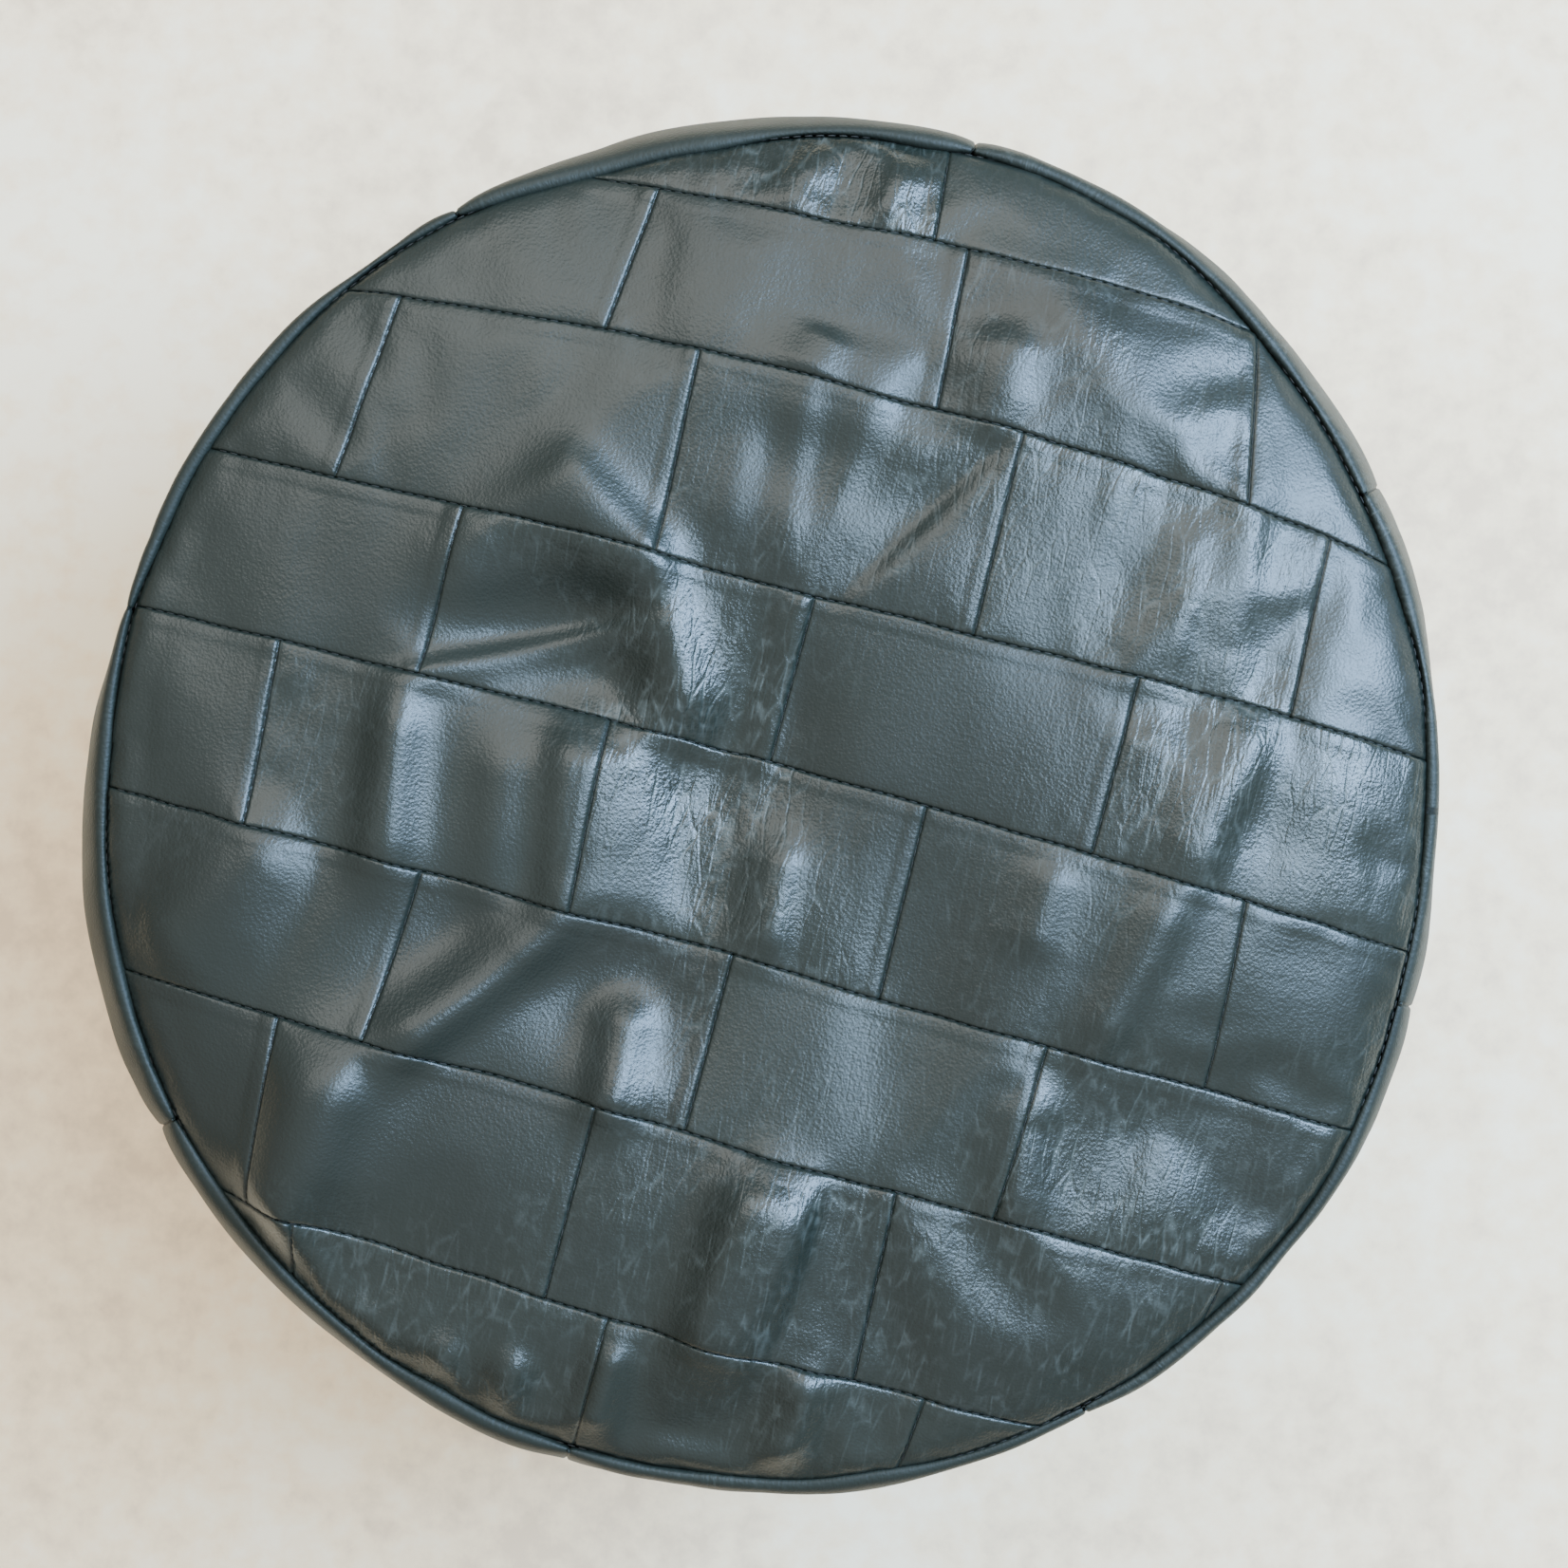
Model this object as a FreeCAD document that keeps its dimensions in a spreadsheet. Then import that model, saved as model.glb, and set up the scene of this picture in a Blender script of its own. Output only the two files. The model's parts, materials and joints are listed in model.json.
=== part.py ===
"""Round storage ottoman: a soft patchwork-leather cushion lid that lifts off an upholstered drum.

Millimetres, +Z up. The origin is on the floor under the middle of the ottoman. At rest the lid lies on
the rim of the drum, and its locating ring hangs in the drum's mouth.
"""
import FreeCAD
import Part
import Sketcher
import math
import os
import re

# Driving dimensions, one row each: alias, value and meaning. Millimetres, degrees and counts.
SIZES = (
    ("fit_gap", 0.2, "clearance between neighbouring pieces"),
    ("seam_gap", 1.0, "groove between two sewn patches"),
    ("leather_thick", 2.0, "leather with its seam allowance"),
    ("cloth_thick", 1.0, "lining and dust cover cloth"),
    ("thread_wide", 0.6, "sewing thread"),
    ("glide_height", 8.0, "plastic foot"),
    ("glide_foot_radius", 14.0, "foot where it meets the floor"),
    ("glide_top_radius", 17.0, "foot where it meets the base"),
    ("glide_circle", 222.0, "circle that the feet stand on"),
    ("ring_count", 6, "feet and battens in their rings"),
    ("screw_radius", 2.0, "screw shank"),
    ("screw_head_radius", 4.0, "countersunk screw head"),
    ("screw_head_flat", 1.0, "flat part of the head"),
    ("screw_bite", 9.0, "length of screw in the board"),
    ("glide_recess", 2.0, "floor to the screw head in a foot"),
    ("staple_wire", 0.7, "staple wire"),
    ("staple_crown", 10.0, "width of a staple"),
    ("staple_leg", 8.0, "length of a staple's legs"),
    ("staple_circle", 248.0, "circle of staples"),
    ("staple_count", 24, "staples in each circle"),
    ("turned_edge", 240.0, "how far in the turned-under leather reaches"),
    ("base_board_radius", 262.0, "plywood base"),
    ("board_thick", 15.0, "plywood of base and lid"),
    ("wall_thick", 4.0, "bent plywood wall"),
    ("rim_level", 278.0, "top of the plywood ring at the mouth"),
    ("wood_ring_wide", 30.0, "plywood rings, inside to outside"),
    ("wood_ring_thick", 18.0, "plywood rings"),
    ("ring_segments", 8, "sawn segments that a plywood ring is glued from"),
    ("glue_line", 0.05, "joint between two segments, as an angle"),
    ("batten_wide", 40.0, "upright battens"),
    ("batten_deep", 15.0, "upright battens, inside to outside"),
    ("batten_relief", 1.0, "flat back of a batten to the round wall"),
    ("card_thick", 2.0, "card liner"),
    ("foam_thick", 22.0, "foam round the wall"),
    ("wadding_thick", 6.0, "wadding over the foam"),
    ("side_bulge_radius", 205.0, "outward curve of one row of side panels"),
    ("panel_count", 8, "panels in each row round the side"),
    ("panel_gap", 0.2, "seam between two side panels, as an angle"),
    ("panel_turn", 27.7, "direction of the lid band's first seam"),
    ("dust_radius", 256.0, "dust cover"),
    ("lid_gap", 0.5, "lid to rim"),
    ("lid_board_radius", 274.0, "plywood lid"),
    ("lid_lining_radius", 252.0, "cloth under the lid"),
    ("locator_radius", 227.0, "outside of the locating ring"),
    ("locator_circle", 212.0, "circle of the locating screws"),
    ("edge_roll_radius", 295.0, "foam strip round the lid board"),
    ("band_foot_radius", 298.0, "lower edge of the lid's side band"),
    ("band_bulge_radius", 62.5, "outward curve of the lid's side band"),
    ("top_seam_radius", 283.0, "seam between top and side band"),
    ("top_seam_level", 372.0, "height of that seam"),
    ("crown_level", 398.0, "middle of the top"),
    ("foam_foot_radius", 294.0, "cushion foam, at the board"),
    ("foam_shoulder_radius", 284.0, "cushion foam, at its upper edge"),
    ("foam_shoulder_level", 346.0, "height of that edge"),
    ("wadding_foot_radius", 300.0, "cushion wadding, at the board"),
    ("wadding_shoulder_radius", 277.0, "cushion wadding, at its upper edge"),
    ("wadding_shoulder_level", 367.0, "height of that edge"),
    ("patch_row_wide", 80.5, "width of one row of top patches"),
    ("patch_length", 140.0, "length of one top patch"),
    ("patch_row_turn", -13.7, "direction the rows run in"),
    ("first_seam", 256.0, "middle of the top to the seam below the first row"),
    ("row_1_seam", 5.0, "middle line to a cross seam of the row"),
    ("row_2_seam", 26.0, "the same, in the second row"),
    ("row_3_seam", 66.0, "the same, in the third row"),
    ("row_4_seam", 0.0, "the same, in the fourth row"),
    ("row_5_seam", 66.0, "the same, in the fifth row"),
    ("row_6_seam", -1.0, "the same, in the sixth row"),
    ("row_7_seam", -50.0, "the same, in the seventh row"),
    ("row_8_seam", -17.0, "the same, in the eighth row"),
)
PATCH_ROWS = 8
SIDE_ROWS = 3
# Enough patches in each row to cross the top, whichever way the row is shifted.
PATCH_PLACES = range(-3, 3)

# Formulas for what follows from the driving dimensions: levels from the floor up.
DUST_BOTTOM = "glide_height + fit_gap"
BASE_STAPLE_LEVEL = DUST_BOTTOM + " + cloth_thick + fit_gap"
BASE_TURN_BOTTOM = BASE_STAPLE_LEVEL + " + staple_wire + fit_gap"
BASE_TURN_TOP = BASE_TURN_BOTTOM + " + leather_thick"
BASE_BOTTOM = BASE_TURN_TOP + " + fit_gap"
BASE_TOP = BASE_BOTTOM + " + board_thick"
INSIDE_FLOOR = BASE_TOP + " + fit_gap"
TOP_RING_BOTTOM = "rim_level - wood_ring_thick"
UNDER_RING = TOP_RING_BOTTOM + " - fit_gap"
BINDING_BOTTOM = "rim_level + fit_gap"
BINDING_TOP = BINDING_BOTTOM + " + leather_thick"
LID_LINING_BOTTOM = BINDING_TOP + " + lid_gap"
LID_LINING_TOP = LID_LINING_BOTTOM + " + cloth_thick"
LOCATOR_TOP = LID_LINING_BOTTOM + " - fit_gap"
LOCATOR_BOTTOM = LOCATOR_TOP + " - wood_ring_thick"
LID_STAPLE_LEVEL = LID_LINING_TOP + " + fit_gap"
LID_TURN_BOTTOM = LID_STAPLE_LEVEL + " + staple_wire + fit_gap"
LID_TURN_TOP = LID_TURN_BOTTOM + " + leather_thick"
LID_BOARD_BOTTOM = LID_TURN_TOP + " + fit_gap"
LID_BOARD_TOP = LID_BOARD_BOTTOM + " + board_thick"
CUSHION_BOTTOM = LID_BOARD_TOP + " + fit_gap"

# Radii, from the side's leather inwards.
WALL_INSIDE = "base_board_radius + fit_gap"
WALL_OUTSIDE = WALL_INSIDE + " + wall_thick"
FOAM_INSIDE = WALL_OUTSIDE + " + fit_gap"
FOAM_OUTSIDE = FOAM_INSIDE + " + foam_thick"
WADDING_INSIDE = FOAM_OUTSIDE + " + fit_gap"
WADDING_OUTSIDE = WADDING_INSIDE + " + wadding_thick"
SIDE_INSIDE = WADDING_OUTSIDE + " + fit_gap"
SIDE_OUTSIDE = SIDE_INSIDE + " + leather_thick"
BATTEN_OUTSIDE = "base_board_radius - batten_relief"
BATTEN_INSIDE = BATTEN_OUTSIDE + " - batten_deep"
LINER_OUTSIDE = BATTEN_INSIDE + " - fit_gap"
LINER_INSIDE = LINER_OUTSIDE + " - card_thick"
LINING_OUTSIDE = LINER_INSIDE + " - fit_gap"
LINING_INSIDE = LINING_OUTSIDE + " - cloth_thick"
TOP_RING_INSIDE = "base_board_radius - wood_ring_wide"
BINDING_OUTSIDE = TOP_RING_INSIDE + " - fit_gap"
MOUTH_RADIUS = BINDING_OUTSIDE + " - leather_thick"
TOP_EDGE_RADIUS = "top_seam_radius - leather_thick - seam_gap"

# The top is a shallow dome through its edge seam and its crown. Thread lies halfway through the leather.
CROWN_RISE = "(crown_level - top_seam_level)"
DOME_RADIUS = f"((top_seam_radius * top_seam_radius / {CROWN_RISE} + {CROWN_RISE}) / 2)"
THREAD_DEPTH = "(leather_thick - thread_wide) / 2"
SEGMENT_MIDDLE = "180 / ring_segments"
SIDE_ROW_HEIGHT = f"(({BINDING_TOP} - ({BASE_TURN_BOTTOM})) / {SIDE_ROWS})"

ALIASES = {alias for alias, value, meaning in SIZES}
UP = FreeCAD.Vector(0, 0, 1)

doc = FreeCAD.newDocument("StorageOttoman")
sheet = doc.addObject("Spreadsheet::Sheet", "Sizes")
for number, (alias, value, meaning) in enumerate(SIZES, start=1):
    sheet.set(f"A{number}", alias)
    sheet.set(f"B{number}", str(value))
    sheet.set(f"C{number}", meaning)
    sheet.setAlias(f"B{number}", alias)
doc.recompute()
subparts = []


def sized(formula):
    """The same formula with each alias read from the spreadsheet."""
    return re.sub(r"[a-z]\w*", lambda word: "Sizes." + word[0] if word[0] in ALIASES else word[0], formula)


def measure(formula):
    """The number that a formula comes to."""
    return float(sheet.evalExpression(sized(formula)))


def keep(label, piece):
    """Names a piece and lists it as a sub-part."""
    piece.Label = label
    subparts.append(piece)


def turn_piece(piece, angle):
    """Turns a piece about the vertical axis."""
    piece.Placement = FreeCAD.Placement(FreeCAD.Vector(), FreeCAD.Rotation(UP, measure(angle)))
    piece.setExpression("Placement.Rotation.Angle", sized(angle))


def fix_number(sketch, formula, kind, *where):
    """Adds a constraint whose number is bound to the spreadsheet."""
    index = sketch.addConstraint(Sketcher.Constraint(kind, *where, measure(formula)))
    sketch.setExpression(f"Constraints[{index}]", sized(formula))


def arc_between(start, end, radius):
    """A circular arc that bulges to the left of the way from start to end."""
    chord = end - start
    left = FreeCAD.Vector(-chord.y, chord.x, 0).normalize()
    rise = radius - math.sqrt(radius * radius - chord.Length * chord.Length / 4)
    return Part.Arc(start, (start + end) * 0.5 + left * rise, end)


def draw_edge(sketch, start, end, radius):
    """Draws one line or arc and returns it with its point numbers at start and end.

    An arc bulges to the left of the way, or to the right where its radius is written with a minus.
    """
    if radius is None:
        return sketch.addGeometry(Part.LineSegment(start, end)), 1, 2
    size = radius.lstrip("-")
    if radius.startswith("-"):
        arc = arc_between(end, start, measure(size))
    else:
        arc = arc_between(start, end, measure(size))
    edge = sketch.addGeometry(arc)
    fix_number(sketch, size, "Radius", edge)
    first = sketch.getPoint(edge, 1)
    if first.distanceToPoint(start) < first.distanceToPoint(end):
        return edge, 1, 2
    return edge, 2, 1


def draw_outline(sketch, corners):
    """Draws a closed outline of (across, up) corners, with a radius as third value where an arc starts."""
    places = [FreeCAD.Vector(measure(corner[0]), measure(corner[1]), 0) for corner in corners]
    edges = []
    for index, corner in enumerate(corners):
        radius = corner[2] if len(corner) == 3 else None
        edges.append(draw_edge(sketch, places[index], places[(index + 1) % len(places)], radius))
    for index, (edge, first, last) in enumerate(edges):
        next_edge, next_first, next_last = edges[(index + 1) % len(edges)]
        sketch.addConstraint(Sketcher.Constraint("Coincident", edge, last, next_edge, next_first))
        across, up = corners[index][:2]
        if across == "0":
            sketch.addConstraint(Sketcher.Constraint("PointOnObject", edge, first, -2))
        else:
            fix_number(sketch, across, "DistanceX", -1, 1, edge, first)
        fix_number(sketch, up, "DistanceY", -1, 1, edge, first)


def new_body(name, role):
    """A body, and a sketch on one of its origin planes."""
    body = doc.addObject("PartDesign::Body", name)
    body.AllowCompound = True
    sketch = body.newObject("Sketcher::SketchObject", "Outline")
    plane = next(feature for feature in body.Origin.OriginFeatures if feature.Role == role)
    sketch.AttachmentSupport = [(plane, "")]
    sketch.MapMode = "FlatFace"
    return body, sketch


def repeat_round(body, count):
    """Repeats a body's last feature round the vertical axis."""
    doc.recompute()
    feature = body.Tip
    axis = next(line for line in body.Origin.OriginFeatures if line.Role == "Z_Axis")
    pattern = body.newObject("PartDesign::PolarPattern", "Round")
    pattern.Originals = [feature]
    pattern.Axis = (axis, [""])
    pattern.Angle = 360
    pattern.setExpression("Occurrences", sized(count))
    body.Tip = pattern


def turned(name, *outlines, axis=None, sector=None, count=None):
    """A body turned from outlines of (radius, level) corners.

    It turns about the vertical axis, or about an upright line at the radius axis. A sector makes it a
    slice of that many degrees centred on +X. A count repeats it round the vertical axis.
    """
    body, sketch = new_body(name, "XZ_Plane")
    for corners in outlines:
        draw_outline(sketch, corners)
    line = "V_Axis"
    if axis:
        foot = FreeCAD.Vector(measure(axis), 0, 0)
        upright = sketch.addGeometry(Part.LineSegment(foot, foot + FreeCAD.Vector(0, 10, 0)), True)
        sketch.addConstraint(Sketcher.Constraint("Vertical", upright))
        sketch.addConstraint(Sketcher.Constraint("PointOnObject", upright, 1, -1))
        fix_number(sketch, axis, "DistanceX", -1, 1, upright, 1)
        fix_number(sketch, "10", "DistanceY", upright, 1, upright, 2)
        line = "Axis0"
    doc.recompute()
    turn = body.newObject("PartDesign::Revolution", "Turned")
    turn.Profile = sketch
    turn.ReferenceAxis = (sketch, [line])
    turn.Angle = 360
    if sector:
        turn.Midplane = True
        turn.setExpression("Angle", sized(sector))
    body.Tip = turn
    if count:
        repeat_round(body, count)
    return body


def ring(inside, outside, bottom, top):
    """The outline of a plain ring or, with an inside of 0, of a disc."""
    return [(inside, bottom), (outside, bottom), (outside, top), (inside, top)]


def blocks_round(name, role, corners, start, length):
    """Straight blocks of one outline, padded from start along the plane's normal, set in a ring."""
    body, sketch = new_body(name, role)
    draw_outline(sketch, corners)
    sketch.setExpression(".AttachmentOffset.Base.z", sized(start))
    doc.recompute()
    block = body.newObject("PartDesign::Pad", "Block")
    block.Profile = sketch
    block.setExpression("Length", sized(length))
    body.Tip = block
    return body


def boolean(kind, name, base, tool):
    """A Part::Cut or Part::Common of two pieces."""
    piece = doc.addObject(kind, name)
    piece.Base = base
    piece.Tool = tool
    return piece


def group(name, pieces):
    """Several pieces as one compound."""
    compound = doc.addObject("Part::Compound", name)
    compound.Links = pieces
    return compound


def screws(name, circle, head, tip, count, allowance="0"):
    """A ring of upright countersunk wood screws, head down.

    With an allowance they are the holes for those screws, open for twice the glide recess below the head.
    """
    shank = f"{circle} + screw_radius + {allowance}"
    rim = f"{circle} + screw_head_radius + {allowance}"
    cone_bottom = f"{head} + screw_head_flat"
    cone_top = f"{cone_bottom} + screw_head_radius - screw_radius"
    bottom = head if allowance == "0" else f"{head} - 2 * glide_recess"
    outline = [
        (circle, bottom),
        (rim, bottom),
        (rim, cone_bottom),
        (shank, cone_top),
        (shank, f"{tip} - screw_radius"),
        (circle, f"{tip} + {allowance}"),
    ]
    return turned(name, outline, axis=circle, count=count)


def staples(name, level):
    """A ring of staples, driven upwards, with their crowns at a level."""
    side = "staple_crown / 2"
    leg = side + " - staple_wire"
    under = f"{level} + staple_wire"
    tip = f"{under} + staple_leg"
    outline = [
        ("-" + side, level),
        (side, level),
        (side, tip),
        (leg, tip),
        (leg, under),
        (f"-({leg})", under),
        (f"-({leg})", tip),
        ("-" + side, tip),
    ]
    body = blocks_round(name, "YZ_Plane", outline, "staple_circle", "staple_wire")
    repeat_round(body, "staple_count")
    return body


def segments(name, outline):
    """A plywood ring glued from sawn segments, with a joint at +X."""
    row = turned(name, outline, sector="360 / ring_segments - glue_line", count="ring_segments")
    turn_piece(row, SEGMENT_MIDDLE)
    return row


def panels(name, outline, turn):
    """A row of side panels with a seam between each two."""
    row = turned(name, outline, sector="360 / panel_count - panel_gap", count="panel_count")
    turn_piece(row, turn)
    return row


def side_panel(bottom, top):
    """The outline of one upright side panel, which bulges between its seams."""
    return [
        (SIDE_OUTSIDE, bottom, "-side_bulge_radius"),
        (SIDE_OUTSIDE, top),
        (SIDE_INSIDE, top, "side_bulge_radius"),
        (SIDE_INSIDE, bottom),
    ]


def dome_fall(radius):
    """How far a dome as round as the top falls from its crown to a radius."""
    return f"({DOME_RADIUS} - sqrt({DOME_RADIUS} * {DOME_RADIUS} - ({radius}) * ({radius})))"


def dome_level(radius, drop):
    """The level of the top's dome at a radius, and a drop below its surface."""
    return f"crown_level - ({drop}) - {dome_fall(radius)}"


def dome_crown(radius, level):
    """The level at the axis of a dome as round as the top, through a radius and level."""
    return f"{level} + {dome_fall(radius)}"


def ball(name, drop):
    """The ball that the top is the crown of, at a depth below its surface, with its poles out level."""
    piece = doc.addObject("Part::Sphere", name)
    piece.setExpression("Radius", sized(f"{DOME_RADIUS} - ({drop})"))
    piece.Placement = FreeCAD.Placement(FreeCAD.Vector(), FreeCAD.Rotation(FreeCAD.Vector(1, 0, 0), 90))
    piece.setExpression("Placement.Base.z", sized(f"crown_level - {DOME_RADIUS}"))
    return piece


def dome_shell(name, upper_drop, lower_drop):
    """A layer of the top between two depths below its surface."""
    upper = ball(name + "Upper", upper_drop)
    lower = ball(name + "Lower", lower_drop)
    shell = boolean("Part::Cut", name + "Shell", upper, lower)
    disc = doc.addObject("Part::Cylinder", name + "Disc")
    disc.setExpression("Radius", sized(TOP_EDGE_RADIUS))
    disc.setExpression("Height", sized(f"2 * {CROWN_RISE}"))
    disc.setExpression("Placement.Base.z", sized(f"top_seam_level - {CROWN_RISE} / 2"))
    return boolean("Part::Common", name, shell, disc)


def tool_block(name, left, right, bottom, top):
    """An upright block that spans the height of the top's dome, for taking a patch or thread out of it."""
    block = doc.addObject("Part::Box", name)
    block.setExpression("Length", sized(f"{right} - ({left})"))
    block.setExpression("Width", sized(f"{top} - ({bottom})"))
    block.setExpression("Height", sized(f"2 * {CROWN_RISE}"))
    block.setExpression("Placement.Base.x", sized(left))
    block.setExpression("Placement.Base.y", sized(bottom))
    block.setExpression("Placement.Base.z", sized(f"top_seam_level - {CROWN_RISE} / 2"))
    return block


def row_edge(number):
    """Where the seam below a row of patches lies, measured across the rows from the middle."""
    return f"first_seam - {number - 1} * patch_row_wide"


def cross_seam(number, place):
    """Where a cross seam of a row lies, measured along the row from the middle."""
    return f"row_{number}_seam + ({place}) * patch_length"


def make_base():
    """The drum that stands on the floor."""
    glide_tip = f"{BASE_BOTTOM} + screw_bite"
    holes = screws("GlideScrewHoles", "glide_circle", "glide_recess", glide_tip, "ring_count", "fit_gap")
    foot = [
        ("glide_circle", "0 * glide_height"),
        ("glide_circle + glide_foot_radius", "0 * glide_height"),
        ("glide_circle + glide_top_radius", "glide_height"),
        ("glide_circle", "glide_height"),
    ]
    feet = turned("SolidGlides", foot, axis="glide_circle", count="ring_count")
    keep("glides", boolean("Part::Cut", "Glides", feet, holes))
    keep("glide_screws", screws("GlideScrews", "glide_circle", "glide_recess", glide_tip, "ring_count"))
    dust = turned("SolidDustCover", ring("0", "dust_radius", DUST_BOTTOM, f"{DUST_BOTTOM} + cloth_thick"))
    keep("dust_cover", boolean("Part::Cut", "DustCover", dust, holes))
    board = turned("SolidBase", ring("0", "base_board_radius", BASE_BOTTOM, BASE_TOP))
    keep("base_board", boolean("Part::Cut", "BaseBoard", board, holes))
    keep("base_staples", staples("BaseStaples", BASE_STAPLE_LEVEL))

    keep("drum_wall", turned("DrumWall", ring(WALL_INSIDE, WALL_OUTSIDE, BASE_BOTTOM, "rim_level")))
    batten = ring(BATTEN_INSIDE, BATTEN_OUTSIDE, "-batten_wide / 2", "batten_wide / 2")
    battens = blocks_round("Battens", "XY_Plane", batten, INSIDE_FLOOR, f"{UNDER_RING} - ({INSIDE_FLOOR})")
    repeat_round(battens, "ring_count")
    keep("wall_battens", battens)
    mouth_ring = ring(TOP_RING_INSIDE, "base_board_radius", TOP_RING_BOTTOM, "rim_level")
    keep("top_ring", segments("TopRing", mouth_ring))

    keep("liner_card", turned("LinerCard", ring(LINER_INSIDE, LINER_OUTSIDE, INSIDE_FLOOR, UNDER_RING)))
    floor_top = f"{INSIDE_FLOOR} + cloth_thick"
    keep("lining_floor", turned("LiningFloor", ring("0", LINING_OUTSIDE, INSIDE_FLOOR, floor_top)))
    wall_cloth = ring(LINING_INSIDE, LINING_OUTSIDE, f"{floor_top} + fit_gap", UNDER_RING)
    keep("lining_wall", turned("LiningWall", wall_cloth))

    keep("wall_foam", turned("WallFoam", ring(FOAM_INSIDE, FOAM_OUTSIDE, BASE_BOTTOM, "rim_level")))
    padding = ring(WADDING_INSIDE, WADDING_OUTSIDE, BASE_BOTTOM, "rim_level")
    keep("wall_wadding", turned("WallWadding", padding))
    binding = [
        (MOUTH_RADIUS, TOP_RING_BOTTOM),
        (BINDING_OUTSIDE, TOP_RING_BOTTOM),
        (BINDING_OUTSIDE, BINDING_BOTTOM),
        (WADDING_OUTSIDE, BINDING_BOTTOM),
        (WADDING_OUTSIDE, BINDING_TOP),
        (MOUTH_RADIUS, BINDING_TOP),
    ]
    keep("rim_binding", turned("RimBinding", binding))


def make_side():
    """The leather round the drum: three rows of panels, each shifted by half a panel."""
    seams = [f"{BASE_TURN_BOTTOM} + {number} * {SIDE_ROW_HEIGHT}" for number in range(1, SIDE_ROWS)]
    half_gap = "seam_gap / 2"
    lower = [
        ("turned_edge", BASE_TURN_BOTTOM),
        (SIDE_OUTSIDE, BASE_TURN_BOTTOM, "-side_bulge_radius"),
        (SIDE_OUTSIDE, f"{seams[0]} - {half_gap}"),
        (SIDE_INSIDE, f"{seams[0]} - {half_gap}", "side_bulge_radius"),
        (SIDE_INSIDE, BASE_TURN_TOP),
        ("turned_edge", BASE_TURN_TOP),
    ]
    middle = side_panel(f"{seams[0]} + {half_gap}", f"{seams[1]} - {half_gap}")
    upper = side_panel(f"{seams[1]} + {half_gap}", BINDING_TOP)
    keep("side_row_lower", panels("SideRowLower", lower, "panel_turn"))
    keep("side_row_middle", panels("SideRowMiddle", middle, "panel_turn + 180 / panel_count"))
    keep("side_row_upper", panels("SideRowUpper", upper, "panel_turn"))
    thread_outside = f"{SIDE_OUTSIDE} - {THREAD_DEPTH}"
    thread_inside = f"{thread_outside} - thread_wide"
    threads = [ring(thread_inside, thread_outside, f"{seam} - thread_wide / 2", f"{seam} + thread_wide / 2")
               for seam in seams]
    keep("side_seam_thread", turned("SideSeamThread", *threads))


def make_lid():
    """The cushion lid, up to its filling and side band."""
    tip = f"{LID_BOARD_BOTTOM} + screw_bite"
    place = ("locator_circle", LOCATOR_BOTTOM, tip, "ring_segments")
    holes = screws("LocatingScrewHoles", *place, "fit_gap")
    turn_piece(holes, SEGMENT_MIDDLE)
    solid_ring = ring("locator_radius - wood_ring_wide", "locator_radius", LOCATOR_BOTTOM, LOCATOR_TOP)
    locator = segments("SolidLocator", solid_ring)
    keep("locating_ring", boolean("Part::Cut", "LocatingRing", locator, holes))
    fasteners = screws("LocatingScrews", *place)
    turn_piece(fasteners, SEGMENT_MIDDLE)
    keep("locating_screws", fasteners)
    cloth = turned("SolidLidLining", ring("0", "lid_lining_radius", LID_LINING_BOTTOM, LID_LINING_TOP))
    keep("lid_lining", boolean("Part::Cut", "LidLining", cloth, holes))
    board = turned("SolidLidBoard", ring("0", "lid_board_radius", LID_BOARD_BOTTOM, LID_BOARD_TOP))
    keep("lid_board", boolean("Part::Cut", "LidBoard", board, holes))
    keep("lid_staples", staples("LidStaples", LID_STAPLE_LEVEL))
    roll = ring("lid_board_radius + fit_gap", "edge_roll_radius", LID_BOARD_BOTTOM, LID_BOARD_TOP)
    keep("lid_edge_roll", turned("LidEdgeRoll", roll))

    foam_crown = dome_crown("foam_shoulder_radius", "foam_shoulder_level")
    foam = [
        ("0", CUSHION_BOTTOM),
        ("foam_foot_radius", CUSHION_BOTTOM, "-band_bulge_radius"),
        ("foam_shoulder_radius", "foam_shoulder_level", "-" + DOME_RADIUS),
        ("0", foam_crown),
    ]
    keep("lid_foam", turned("LidFoam", foam))
    wadding = [
        ("0", foam_crown + " + fit_gap", DOME_RADIUS),
        ("foam_shoulder_radius + fit_gap", "foam_shoulder_level + fit_gap", "band_bulge_radius"),
        ("foam_foot_radius + fit_gap", CUSHION_BOTTOM),
        ("wadding_foot_radius", CUSHION_BOTTOM, "-band_bulge_radius"),
        ("wadding_shoulder_radius", "wadding_shoulder_level", "-" + DOME_RADIUS),
        ("0", dome_crown("wadding_shoulder_radius", "wadding_shoulder_level")),
    ]
    keep("lid_wadding", turned("LidWadding", wadding))
    inside_bulge = "(band_bulge_radius - leather_thick)"
    band = [
        ("turned_edge", LID_TURN_BOTTOM),
        ("band_foot_radius", LID_TURN_BOTTOM, "-band_bulge_radius"),
        ("top_seam_radius", "top_seam_level"),
        ("top_seam_radius - leather_thick", "top_seam_level - leather_thick", inside_bulge),
        ("band_foot_radius - leather_thick", LID_TURN_TOP),
        ("turned_edge", LID_TURN_TOP),
    ]
    keep("lid_band", panels("LidBand", band, "panel_turn + 180 / panel_count"))


def cross_blocks(name, number, widening, bottom, top):
    """A block over each cross seam of a row, widened to both sides."""
    blocks = []
    for place in PATCH_PLACES:
        seam = cross_seam(number, place)
        blocks.append(tool_block(name, f"{seam} - {widening}", f"{seam} + {widening}", bottom, top))
    return blocks


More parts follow.
